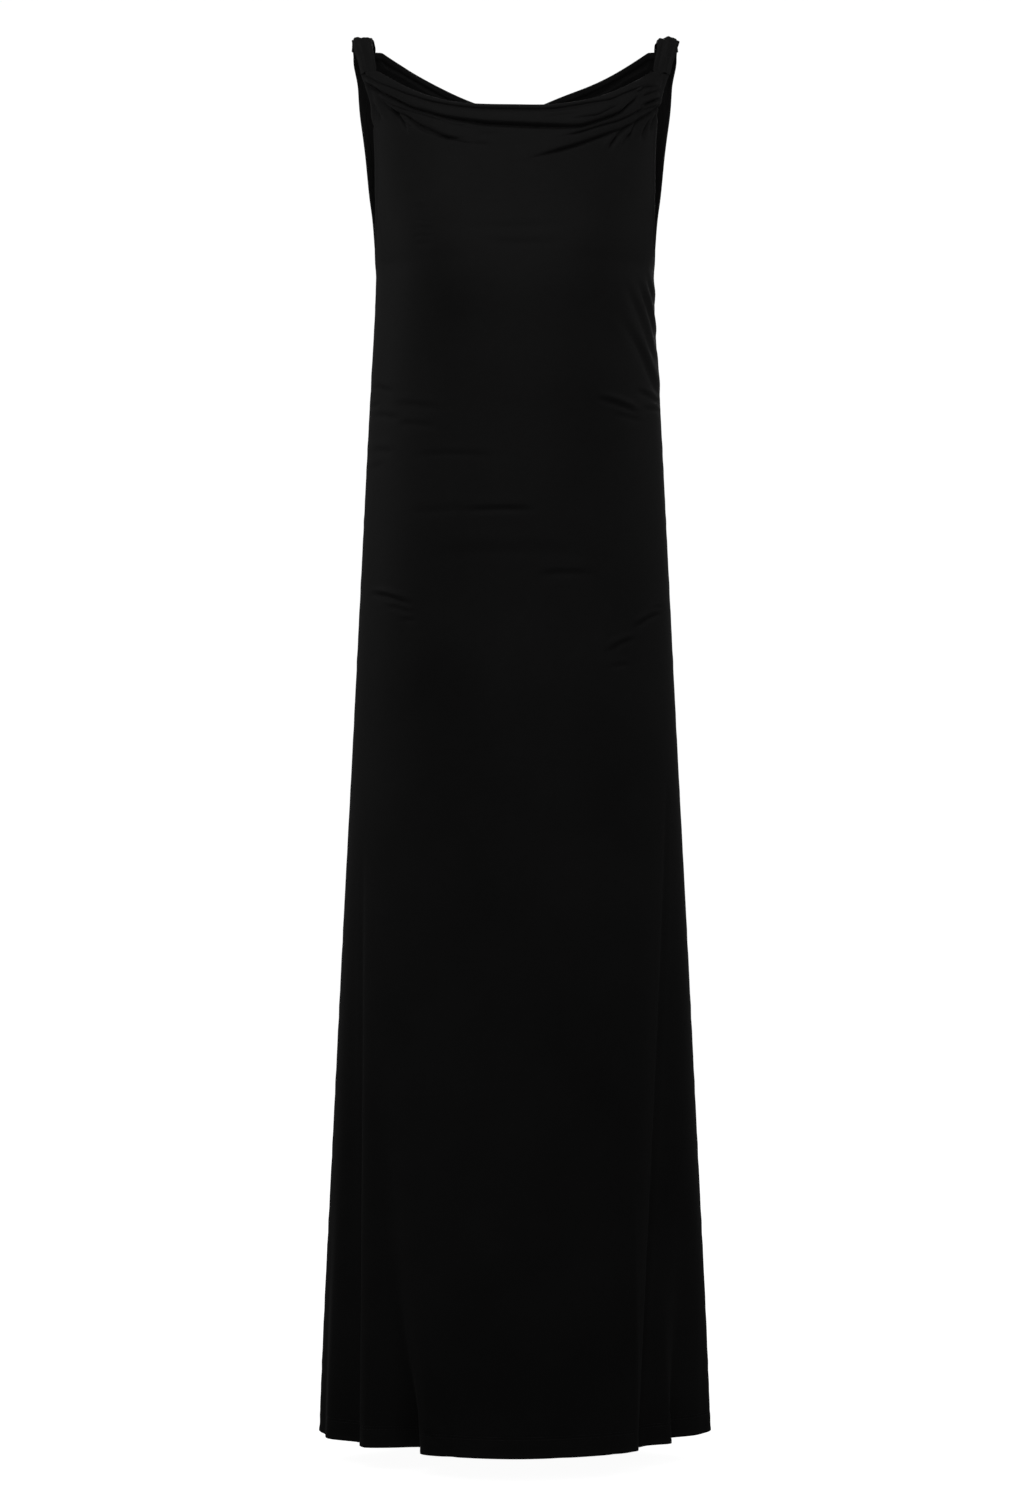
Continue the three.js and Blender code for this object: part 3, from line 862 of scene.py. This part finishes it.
def thicken(piece: bpy.types.Object, thickness: float, thin_share: float = 1.0) -> None:
    """Gives a sheet its wall, inwards from its outer side.

    Args:
        piece: the sheet.
        thickness: the full thickness in millimetres.
        thin_share: the share of it where the cloth is single, if the sheet has turned edges.
    """
    wall = piece.modifiers.new("cloth_thickness", "SOLIDIFY")
    wall.thickness = thickness * MM
    wall.offset = -1.0
    wall.use_rim = True
    wall.use_quality_normals = True
    if TURNED_GROUP in piece.vertex_groups:
        wall.vertex_group = TURNED_GROUP
        wall.thickness_vertex_group = thin_share


@dataclass(frozen=True)
class Band:
    """A low ridge or, where its height is negative, a groove that runs along an edge."""

    height: float
    away: float  # how far from the edge it runs
    width: float

    def lift(self, distance: np.ndarray) -> np.ndarray:
        """How far it moves the cloth outwards at each distance from the edge, in millimetres."""
        return self.height * bell(distance - self.away, self.width)


ARMHOLE_BANDS = (Band(0.55, 1.6, 1.4), Band(-0.35, 6.4, 1.2))
BACK_NECK_BANDS = (Band(0.5, 1.4, 1.3), Band(-0.35, 6.4, 1.1))
HEM_BANDS = (Band(0.35, 1.5, 1.6), Band(-0.25, 20, 2.2))
SEAM_GROOVE = Band(-0.7, 0, 1.5)
SEAM_PUCKER = Band(0.22, 3, 5)
HEM_PUCKER = Band(0.25, 9, 8)

# How far the turned cloth reaches from each edge, and over what length it thins out.
ARMHOLE_TURNED, SEAM_TURNED, HEM_TURNED, NECK_TURNED, TURNED_FADE = 6.0, 7.0, 21.0, 6.5, 1.5
SEAM_THICK_SHARE = 0.6
# The cowl is thin down to the first of these, for its roll, and full after the second.
COWL_THIN_TO, COWL_THICKENS_OVER = 1.0, 4.0

# Where the stitches run.
HEM_STITCHES_AT, ARMHOLE_STITCHES_AT, NECK_STITCHES_AT = (18.6, 21.4), 6.4, 6.4
STITCHES_END_ABOVE_UNDERARM = 4.0

# How worn each edge is, and how far the wear reaches into the cloth.
SEAM_WORN, ARMHOLE_WORN, HEM_WORN, TOP_WORN = 0.15, 0.6, 0.6, 0.3
SIDE_WEAR_REACH, HEM_WEAR_REACH, TOP_WEAR_REACH = 2.5, 3.0, 2.5


@dataclass
class Edges:
    """Distances in millimetres from each point of a panel's grid to its edges."""

    side: np.ndarray
    hem: np.ndarray
    top: np.ndarray
    armhole: np.ndarray  # 0 below the underarm to 1 above it


@dataclass
class DressPanel:
    """The front or the back of the dress, as a thin shell with turned and stitched edges."""

    name: str
    node: str
    shape: PanelShape
    columns: int
    levels: tuple[tuple[float, float], ...]  # level up to which rows are this far apart
    chest_rows: int
    neck_rows: int
    neck_band: float  # the height below the top edge that the neck rows fill
    flat: tuple[float, float]
    flat_area: float
    rolled: bool
    proud: float = 0.5  # how far the outer side stands in front of the middle surface
    wall: float = 2.2
    wall_share: float = 0.42  # what single cloth is of a turned edge's thickness
    edge_steps: tuple[float, ...] = (0.0, 0.0046, 0.0092, 0.0145, 0.021, 0.028, 0.036)
    finer_sides: float = 0.28
    roll_rows: int = 9
    facing_rows: int = 5
    facing_pitch: float = 2.2
    facing_short: float = 0.25  # the share of its length that the facing keeps beside the straps
    points: np.ndarray = field(default=None, repr=False)
    outward: np.ndarray = field(default=None, repr=False)

    def column_places(self) -> np.ndarray:
        """Spaces the columns, finer towards the side edges.

        Returns:
            Each column's u.
        """
        edge = np.array(self.edge_steps)
        t = np.linspace(-1, 1, self.columns - 2 * (len(edge) - 1) + 1)
        inner = (1 - edge[-1]) * (t + self.finer_sides * (t - t**3))
        return np.concatenate([-1 + edge[:-1], inner, (1 - edge[:-1])[::-1]])

    def row_heights(self, u: np.ndarray) -> np.ndarray:
        """The height of each point of the grid, rows by columns.

        Args:
            u: the columns.

        Returns:
            Heights in millimetres from the hem to the top edge.
        """
        levels = [HEM_Z]
        for top, pitch in self.levels:
            steps = max(1, round((top - levels[-1]) / pitch))
            levels += list(np.linspace(levels[-1], top, steps + 1)[1:])
        level = np.array(levels)[:, None]
        lift = HEM_LIFT * np.abs(u) ** HEM_LIFT_POWER * (1 - ease((level - HEM_Z) / HEM_LIFT_FADE))
        low = level + lift
        top = self.shape.top_z(u)[None, :]
        chest = np.linspace(0, 1, self.chest_rows + 1)[1:, None]
        band = np.linspace(1, 0, self.neck_rows + 1)[1:, None]
        return np.concatenate(
            [low, mix(UNDERARM_Z, top - self.neck_band, chest), top - self.neck_band * band]
        )

    def edges(self, points: np.ndarray) -> Edges:
        """Measures each point's distance to the panel's edges.

        Args:
            points: the grid without the rolled edge.

        Returns:
            The distances.
        """
        across, up = arc_along(points, 1), arc_along(points, 0)
        side = np.minimum(across, across[:, [-1]] - across)
        armhole = ease((points[..., 2] - UNDERARM_Z) / ARMHOLE_BEGINS_WITHIN)
        return Edges(side, up, up[[-1], :] - up, armhole)

    def relief(self, edges: Edges, points: np.ndarray) -> np.ndarray:
        """Raises the turned edges and draws the cloth in along the seams and stitch lines.

        Args:
            edges: the distances to the edges.
            points: the grid.

        Returns:
            How far each point moves outwards, in millimetres.
        """
        x, z = points[..., 0], points[..., 2]
        turned = sum(band.lift(edges.side) for band in ARMHOLE_BANDS)
        pucker = np.sin(z / 4.1 + 2.2 * np.sin(z / 37)) * np.sin(z / 23 + 1)
        seam = SEAM_GROOVE.lift(edges.side) + pucker * SEAM_PUCKER.lift(edges.side)
        lift = edges.armhole * turned + (1 - edges.armhole) * seam
        lift += sum(band.lift(edges.hem) for band in HEM_BANDS)
        lift += np.sin(x / 7.5 + 1.5 * np.sin(x / 31)) * HEM_PUCKER.lift(edges.hem)
        if not self.rolled:
            lift += sum(band.lift(edges.top) for band in BACK_NECK_BANDS)
        return lift

    def thick_share(self, edges: Edges) -> np.ndarray:
        """Says how thick the wall is.

        Args:
            edges: the distances to the edges.

        Returns:
            The share at each point: 1 on turned edges and 0 on single cloth.
        """
        turned = edges.armhole * (1 - ease((edges.side - ARMHOLE_TURNED) / TURNED_FADE))
        seam = 1 - ease((edges.side - SEAM_TURNED) / TURNED_FADE)
        allowance = (1 - edges.armhole) * SEAM_THICK_SHARE * seam
        hem = 1 - ease((edges.hem - HEM_TURNED) / TURNED_FADE)
        share = np.maximum(np.maximum(turned, allowance), hem)
        if self.rolled:
            return share * ease((edges.top - COWL_THIN_TO) / COWL_THICKENS_OVER)
        return np.maximum(share, 1 - ease((edges.top - NECK_TURNED) / TURNED_FADE))

    def wear(self, edges: Edges) -> np.ndarray:
        """Says how worn the cloth is.

        Args:
            edges: the distances to the edges.

        Returns:
            The wear at each point, 0 to 1.
        """
        side = mix(SEAM_WORN, ARMHOLE_WORN, edges.armhole) * bell(edges.side, SIDE_WEAR_REACH)
        hem = HEM_WORN * bell(edges.hem, HEM_WEAR_REACH)
        top = TOP_WORN * bell(edges.top, TOP_WEAR_REACH)
        return np.maximum(np.maximum(side, hem), top)

    def roll(self, points: np.ndarray) -> np.ndarray:
        """Turns the cowl's top edge inwards by half a turn and lets it hang as a facing.

        Args:
            points: the grid up to the top edge.

        Returns:
            The grid with the further rows.
        """
        last, normal = points[-1], grid_normals(points)[-1]
        up = unit(last - points[-2])
        span = ROLL_SMALL_BEYOND - ROLL_FULL_WITHIN
        full = ease((ROLL_SMALL_BEYOND - np.abs(last[:, 0])) / span)[:, None]
        radius = mix(ROLL_SMALL, ROLL_RADIUS, full)
        added = []
        for turn in np.linspace(0, math.pi, self.roll_rows + 1)[1:]:
            added.append(
                last + normal * radius * (math.cos(turn) - 1) + up * radius * math.sin(turn)
            )
        hang = up * self.facing_pitch * mix(self.facing_short, 1.0, full)
        added += [added[-1] - hang * step for step in range(1, self.facing_rows + 1)]
        return np.concatenate([points, np.array(added)])

    def build(self, jersey: bpy.types.Material) -> bpy.types.Object:
        """Args:
            jersey: the cloth's material.

        Returns:
            The finished piece.
        """
        u = self.column_places()
        z = self.row_heights(u)
        points = self.shape.at(np.broadcast_to(u, z.shape), z)
        edges = self.edges(points)
        normals = grid_normals(points)
        seam = points[:, [0, -1], 2] <= UNDERARM_Z
        for k, column in enumerate((0, -1)):
            normals[seam[:, k], column, 1] = 0.0
        normals = unit(normals)
        lift = self.proud + self.relief(edges, points)
        self.points = points + normals * lift[..., None]
        sewn = self.points[:, [0, -1], 1]
        closed = -self.shape.facing.value * SEAM_MEETS
        self.points[:, [0, -1], 1] = np.where(seam, closed, sewn)
        self.outward = normals
        grid = self.points
        share, wear = self.thick_share(edges), self.wear(edges)
        if self.rolled:
            grid = self.roll(grid)
            extra = grid.shape[0] - share.shape[0]
            share = np.pad(share, ((0, extra), (0, 0)))
            wear = np.pad(wear, ((0, extra), (0, 0)), mode="edge")
        piece = lay_cloth(self.name, grid, wear, turned=share)
        thicken(piece, self.wall, self.wall_share)
        piece.data.materials.append(jersey)
        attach(piece, "root")
        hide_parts(self.node)
        LOG.info("%s: %d faces", piece.name, len(piece.data.polygons))
        return piece


# Straps

STRAP_CROWN = (
    # x, y, z, width, thick of the left strap between its seams
    (153, -15.2, -16, 19, 5.6), (156, -9, -4, 20.4, 7.6), (157.6, -1.6, 3.4, 21, 8),
    (157.6, 5.6, 5, 21.6, 7.4), (157, 12, 4.1, 22, 5.6), (156.6, 16.8, 1.7, 23, 3.6),
)
# The share of a panel's columns that a strap takes, and how far below the top the slope is read.
FRONT_STRAP_SHARE, FRONT_SLOPE_STEP = 0.1, 3.4118
BACK_STRAP_SHARE, BACK_SLOPE_STEP = 0.1333, 7.6667
STRAP_WIDER = 1.6  # how much wider a strap's end is than the panel's corner
PATH_SAMPLES = 600


@dataclass
class StrapEnd:
    """Where a strap meets a panel's top corner."""

    middle: np.ndarray
    onward: np.ndarray
    across: np.ndarray
    width: float


def strap_end(shape: PanelShape, share: float, band_step: float, clearance: float) -> StrapEnd:
    """Finds the end of a strap at a panel's top corner on the wearer's left.

    Args:
        shape: the panel's form.
        share: how much of u the strap is wide.
        band_step: how far below the top edge the panel's slope is read, in millimetres.
        clearance: how far above the edge the strap ends, in millimetres.

    Returns:
        The strap's end.
    """
    corner = 1.0 if shape.facing is Facing.FRONT else -1.0
    u = np.array([corner, corner * (1 - share)])
    top = shape.top_z(u)
    outer, inner = shape.at(u, top)
    low_outer, low_inner = shape.at(u, top - band_step)
    across = unit(outer - inner)
    onward = outer + inner - low_outer - low_inner
    onward = unit(onward - across * (onward @ across))
    middle = (outer + inner) / 2 + onward * clearance
    return StrapEnd(middle, onward, across, float(np.linalg.norm(outer - inner)) + STRAP_WIDER)


def smooth_path(stations: np.ndarray, t: np.ndarray) -> np.ndarray:
    """A smooth curve through stations that lie evenly in t.

    Args:
        stations: one row of values for each station.
        t: where to read it, 0 to 1.

    Returns:
        One row of values for each t.
    """
    place = np.clip(t, 0, 1) * (len(stations) - 1)
    i = np.minimum(place.astype(int), len(stations) - 2)
    s = (place - i)[:, None]
    padded = np.vstack([2 * stations[0] - stations[1], stations, 2 * stations[-1] - stations[-2]])
    a, b, c, d = (padded[i + k] for k in range(4))
    return 0.5 * (
        2 * b + (c - a) * s + (2 * a - 5 * b + 4 * c - d) * s**2 + (3 * b - a - 3 * c + d) * s**3
    )


@dataclass
class ShoulderStrap:
    """One shoulder strap: a strip of jersey gathered into a soft fold over the shoulder."""

    side: WearerSide
    rings: int = 72
    around: int = 64
    tuck: float = 2.2  # how far each end goes under the panel's edge
    front_over: float = ROLL_SMALL + 1.3  # how far the cowl's turned edge stands over its line
    back_over: float = 0.5
    end_thick: float = 2.2
    end_step: float = 2.4  # from each end to the next station
    wall: float = 0.7
    folds: tuple[float, ...] = (0.75, 0.5, 0.25)  # heights of the 4, 7 and 13 folds around it
    ruck: float = 0.3  # height of the small waves along it
    thick_folds: float = 0.8  # how much of the folds goes into its thickness
    right_phase: float = 1.9  # turns the right strap's folds, so that the two differ
    worn: float = 0.25  # how worn it is
    worn_edges: float = 0.2  # and how much more so towards one edge, and less towards the other
    flat: tuple[float, float] = (0.058, 0.066)

    def path(self) -> tuple[np.ndarray, np.ndarray, np.ndarray]:
        """Leads the strap from the front's corner over the shoulder to the back's.

        Returns:
            For each ring its share of the way, its x, y, z, width and thickness, and the
            direction across the strap.
        """
        front = strap_end(
            FRONT_SHAPE, FRONT_STRAP_SHARE, FRONT_SLOPE_STEP, self.front_over - self.tuck
        )
        back = strap_end(BACK_SHAPE, BACK_STRAP_SHARE, BACK_SLOPE_STEP, self.back_over - self.tuck)
        stations = np.array(
            [
                (*front.middle, front.width, self.end_thick),
                (*(front.middle + self.end_step * front.onward), front.width, self.end_thick + 0.5),
                *STRAP_CROWN,
                (*(back.middle + self.end_step * back.onward), back.width, self.end_thick + 0.3),
                (*back.middle, back.width, self.end_thick),
            ]
        )
        even = np.linspace(0, 1, PATH_SAMPLES)
        dense = smooth_path(stations, even)
        run = np.r_[0, np.cumsum(np.linalg.norm(np.diff(dense[:, :3], axis=0), axis=1))]
        t = np.interp(np.linspace(0, run[-1], self.rings + 1), run, even)
        return t, smooth_path(stations, t), mix(front.across, back.across, t[:, None])

    def waves(self, s: np.ndarray, turn: np.ndarray) -> np.ndarray:
        """Works out the gathered folds.

        Args:
            s: the share of the way along the strap.
            turn: the angle round it.

        Returns:
            How far each point stands off the smooth form, in millimetres.
        """
        phase = 0.0 if self.side is WearerSide.LEFT else self.right_phase
        wide, middling, fine = self.folds
        folds = (
            wide * np.cos(4 * turn + phase + 0.9 * np.sin(5 * s))
            + middling * np.cos(7 * turn - phase + 2.1 * s)
            + fine * np.cos(13 * turn + 2 * phase - 2.6 * s)
        )
        ruck = self.ruck * np.sin(31 * s + 3 * np.sin(turn + phase)) * np.cos(3 * turn + phase)
        return np.sin(math.pi * s) ** 0.6 * (folds + ruck)

    def build(self, jersey: bpy.types.Material) -> bpy.types.Object:
        """Args:
            jersey: the cloth's material.

        Returns:
            The finished piece.
        """
        t, path, across = self.path()
        along = unit(np.gradient(path[:, :3], axis=0))
        across = unit(across - along * np.sum(across * along, axis=1, keepdims=True))
        outward = np.cross(across, along)
        turn = np.linspace(0, 2 * math.pi, self.around + 1)[None, :]
        wave = self.waves(t[:, None], turn)
        width = path[:, [3]] / 2 + wave
        thick = path[:, [4]] / 2 + self.thick_folds * wave
        points = (
            path[:, None, :3]
            + across[:, None, :] * (width * np.cos(turn))[..., None]
            + outward[:, None, :] * (thick * np.sin(turn))[..., None]
        )
        if self.side is WearerSide.RIGHT:
            points = points * np.array([-1.0, 1.0, 1.0])
            points = points[:, ::-1]
        points = points[:, ::-1]
        wear = np.broadcast_to(self.worn + self.worn_edges * np.cos(turn), points.shape[:2])
        name = f"shoulder_strap_{self.side.name.lower()}"
        piece = lay_cloth(f"{name}_cloth", points, wear, closed=True)
        thicken(piece, self.wall)
        piece.data.materials.append(jersey)
        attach(piece, "root")
        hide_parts(name)
        LOG.info("%s: %d faces", piece.name, len(piece.data.polygons))
        return piece


# Stitches


@dataclass
class StitchLines:
    """Rows of twin-needle stitches, each stitch a small pressed loop of thread."""

    name: str
    pitch: float = 3.1
    length: float = 2.3
    thick: float = 0.42
    proud: float = 0.04  # how far the thread's middle stands off the cloth
    shape: bmesh.types.BMesh = field(default_factory=bmesh.new, repr=False)
    pattern: bpy.types.Mesh = field(init=False, repr=False)
    count: int = 0

    def __post_init__(self) -> None:
        """Makes the one loop of thread that every stitch copies, one long along X."""
        loop = bmesh.new()
        upright = Matrix.Rotation(math.pi / 2, 4, "Y")
        bmesh.ops.create_uvsphere(loop, u_segments=6, v_segments=4, radius=1.0, matrix=upright)
        self.pattern = bpy.data.meshes.new("stitch_loop")
        loop.to_mesh(self.pattern)
        loop.free()

    def run(self, places: np.ndarray, outward: np.ndarray) -> None:
        """Sews along a line of places on the cloth.

        Args:
            places: points of the line in millimetres.
            outward: the cloth's outward direction at each.
        """
        long = np.r_[0, np.cumsum(np.linalg.norm(np.diff(places, axis=0), axis=1))]
        middles = np.arange(self.pitch, long[-1] - self.pitch, self.pitch)
        for middle in middles:
            ends = np.array([middle - self.length / 2, middle + self.length / 2])
            a, b = (np.array([np.interp(e, long, places[:, k]) for k in range(3)]) for e in ends)
            out = Vector([np.interp(middle, long, outward[:, k]) for k in range(3)]).normalized()
            along = Vector(b - a).normalized()
            sideways = out.cross(along).normalized()
            turn = Matrix((along, sideways, along.cross(sideways))).transposed().to_4x4()
            half_thick = self.thick / 2 * MM
            size = Matrix.Diagonal((self.length / 2 * MM, half_thick, half_thick, 1.0))
            centre = (Vector((a + b) / 2) + out * self.proud) * MM
            loop = self.pattern.copy()
            loop.transform(Matrix.Translation(centre) @ turn @ size)
            self.shape.from_mesh(loop)
            bpy.data.meshes.remove(loop)
            self.count += 1

    def finish(self, thread: bpy.types.Material) -> bpy.types.Object:
        """Makes the stitches one piece and lets it ride with the dress.

        Args:
            thread: the thread's material.

        Returns:
            The finished piece.
        """
        mesh = bpy.data.meshes.new(self.name)
        self.shape.to_mesh(mesh)
        self.shape.free()
        mesh.polygons.foreach_set("use_smooth", np.ones(len(mesh.polygons), bool))
        piece = bpy.data.objects.new(self.name, mesh)
        bpy.context.scene.collection.objects.link(piece)
        mesh.materials.append(thread)
        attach(piece, "root")
        LOG.info("%s: %d stitches", self.name, self.count)
        return piece


def read_line(
    distance: float, measured: np.ndarray, *values: np.ndarray
) -> tuple[np.ndarray, ...]:
    """Reads values in space where a measured length is a given distance.

    Args:
        distance: the length to read at, in millimetres.
        measured: the length at each place of a line.
        values: vectors at the same places.

    Returns:
        One vector for each of the values.
    """
    order = np.argsort(measured)
    line = measured[order]
    return tuple(
        np.array([np.interp(distance, line, value[order, k]) for k in range(3)])
        for value in values
    )


def level_line(panel: DressPanel, distance: float, from_top: bool) -> tuple[np.ndarray, np.ndarray]:
    """Finds a line across a panel at an even distance from its hem or its top edge.

    Args:
        panel: the built panel.
        distance: how far from the edge, in millimetres.
        from_top: whether it is measured from the top edge.

    Returns:
        The line's points and the outward directions there.
    """
    up = arc_along(panel.points, 0)
    measured = up[-1] - up if from_top else up
    read = [
        read_line(distance, measured[:, k], panel.points[:, k], panel.outward[:, k])
        for k in range(2, up.shape[1] - 2)
    ]
    places, outs = (np.array(part) for part in zip(*read))
    return places, outs


def armhole_line(
    panel: DressPanel, distance: float, last: bool
) -> tuple[np.ndarray, np.ndarray]:
    """Finds a line along one armhole edge of a panel.

    Args:
        panel: the built panel.
        distance: how far from the edge, in millimetres.
        last: whether it is the edge of the last column.

    Returns:
        The line's points and the outward directions there.
    """
    across = arc_along(panel.points, 1)
    measured = across[:, [-1]] - across if last else across
    edge_z = panel.points[:, -1 if last else 0, 2]
    read = [
        read_line(distance, measured[k], panel.points[k], panel.outward[k])
        for k in np.nonzero(edge_z > UNDERARM_Z + STITCHES_END_ABOVE_UNDERARM)[0]
    ]
    places, outs = (np.array(part) for part in zip(*read))
    return places, outs


# Studio


@dataclass
class SoftBox:
    """A large soft area light."""

    name: str
    place: tuple[float, float, float]
    aim: tuple[float, float, float]
    size: tuple[float, float]
    power: float

    def build(self) -> None:
        """Adds the light to the scene."""
        lamp = bpy.data.lights.new(self.name, "AREA")
        lamp.shape = "RECTANGLE"
        lamp.size, lamp.size_y = self.size
        lamp.energy = self.power
        box = bpy.data.objects.new(self.name, lamp)
        box.location = self.place
        way = Vector(self.aim) - Vector(self.place)
        box.rotation_euler = way.to_track_quat("-Z", "Y").to_euler()
        box.visible_camera = False
        bpy.context.scene.collection.objects.link(box)


@dataclass
class Studio:
    """The camera, the soft lights, the pale surroundings and the floor."""

    camera_distance: float = 3.6
    camera_height: float = -0.726
    frame_height: float = 1.545  # what the picture is tall at the side seams' plane
    floor_z: float = -1.456
    floor_size: float = 14.0
    backdrop: float = 1.02  # how bright the surroundings are where the camera sees them
    ambient: float = 0.10  # and as a light
    boxes: tuple[SoftBox, ...] = (
        SoftBox("key", (-0.9, -2.6, 1.0), (0.0, 0.0, -0.45), (1.2, 0.9), 5.0),
        SoftBox("fill", (1.3, -2.6, 0.5), (0.0, 0.0, -0.6), (1.2, 1.4), 4.7),
        SoftBox("neck", (-0.08, -1.2, 0.1), (0.0, 0.06, 0.03), (0.6, 0.1), 1.9),
        SoftBox("top", (0.0, -0.55, 1.15), (0.0, -0.05, -0.2), (0.9, 0.5), 2.7),
        SoftBox("left_strip", (-1.5, 0.2, 0.05), (0.0, 0.0, -0.3), (0.5, 1.1), 2.9),
        SoftBox("right_strip", (1.5, 0.2, 0.15), (0.0, 0.0, -0.25), (0.5, 0.8), 1.6),
        SoftBox("back", (0.4, 2.6, 0.9), (0.0, 0.0, -0.5), (1.8, 1.6), 16.0),
    )

    def camera(self) -> None:
        """Places the camera straight in front of the dress, at the photograph's distance."""
        data = bpy.data.cameras.new("camera")
        data.sensor_width = 36.0
        data.lens = 36.0 * self.camera_distance / self.frame_height
        camera = bpy.data.objects.new("camera", data)
        camera.location = (0.0, -self.camera_distance, self.camera_height)
        camera.rotation_euler = (math.pi / 2, 0.0, 0.0)
        bpy.context.scene.collection.objects.link(camera)
        bpy.context.scene.camera = camera

    def surroundings(self) -> None:
        """Makes the world white where the camera sees it and dimmer as a light."""
        world = bpy.data.worlds.new("studio")
        bpy.context.scene.world = world
        world.use_nodes = True
        nodes, links = world.node_tree.nodes, world.node_tree.links
        seen = nodes["Background"]
        seen.inputs["Color"].default_value = (1.0, 1.0, 1.0, 1.0)
        seen.inputs["Strength"].default_value = self.backdrop
        lit = nodes.new("ShaderNodeBackground")
        lit.inputs["Color"].default_value = (1.0, 1.0, 1.0, 1.0)
        lit.inputs["Strength"].default_value = self.ambient
        path = nodes.new("ShaderNodeLightPath")
        choose = nodes.new("ShaderNodeMixShader")
        links.new(path.outputs["Is Camera Ray"], choose.inputs["Fac"])
        links.new(lit.outputs["Background"], choose.inputs[1])
        links.new(seen.outputs["Background"], choose.inputs[2])
        links.new(choose.outputs["Shader"], nodes["World Output"].inputs["Surface"])

    def floor(self) -> None:
        """Lays the pale floor just below the hem."""
        shape = bmesh.new()
        bmesh.ops.create_grid(
            shape,
            x_segments=1,
            y_segments=1,
            size=self.floor_size,
            matrix=Matrix.Translation((0.0, 0.0, self.floor_z)),
        )
        mesh = bpy.data.meshes.new("floor")
        shape.to_mesh(mesh)
        shape.free()
        floor = bpy.data.objects.new("floor", mesh)
        bpy.context.scene.collection.objects.link(floor)
        mesh.materials.append(FloorFinish().material())
        floor.visible_diffuse = False
        floor.visible_glossy = False

    def build(self) -> None:
        """Sets up the studio and the plain colour transform."""
        self.camera()
        self.surroundings()
        self.floor()
        for box in self.boxes:
            box.build()
        bpy.context.scene.view_settings.view_transform = "Standard"


# Sewing and the whole dress


def sew(front: DressPanel, back: DressPanel, thread: bpy.types.Material) -> None:
    """Sews the turned edges of both panels.

    Args:
        front: the built front.
        back: the built back.
        thread: the thread's material.
    """
    hem = StitchLines("hem_stitches")
    for panel in (front, back):
        for distance in HEM_STITCHES_AT:
            hem.run(*level_line(panel, distance, from_top=False))
    hem.finish(thread)
    armholes = StitchLines("armhole_stitches")
    for panel in (front, back):
        for last in (False, True):
            armholes.run(*armhole_line(panel, ARMHOLE_STITCHES_AT, last))
    armholes.finish(thread)
    neck = StitchLines("back_neck_stitches")
    neck.run(*level_line(back, NECK_STITCHES_AT, from_top=True))
    neck.finish(thread)


def main() -> None:
    """Builds the studio and the dress."""
    Studio().build()
    jersey = JerseyFinish().material()
    thread = ThreadFinish().material()
    front = DressPanel(
        name="front_cloth",
        node="front_panel",
        shape=FRONT_SHAPE,
        columns=152,
        levels=(
            (-1402, 2.6), (-1340, 8.0), (-650, 13.0), (-560, 2.5), (-543, 3.0), (-497, 6.0),
            (-480, 2.6), (-440, 6.0), (-355, 2.5), (UNDERARM_Z, 4.0),
        ),
        chest_rows=42,
        neck_rows=66,
        neck_band=62.0,
        flat=(0.60, 1.47),
        flat_area=0.66,
        rolled=True,
    )
    back = DressPanel(
        name="back_cloth",
        node="back_panel",
        shape=BACK_SHAPE,
        columns=126,
        levels=(
            (-1402, 2.6), (-1340, 6.0), (-630, 11.0), (-550, 3.0), (-450, 5.0), (-330, 3.0),
            (UNDERARM_Z, 4.0),
        ),
        chest_rows=34,
        neck_rows=40,
        neck_band=46.0,
        flat=(0.61, 1.45),
        flat_area=0.66,
        rolled=False,
    )
    front.build(jersey)
    back.build(jersey)
    for side in WearerSide:
        ShoulderStrap(side).build(jersey)
    sew(front, back, thread)


if __name__ == "__main__":
    main()
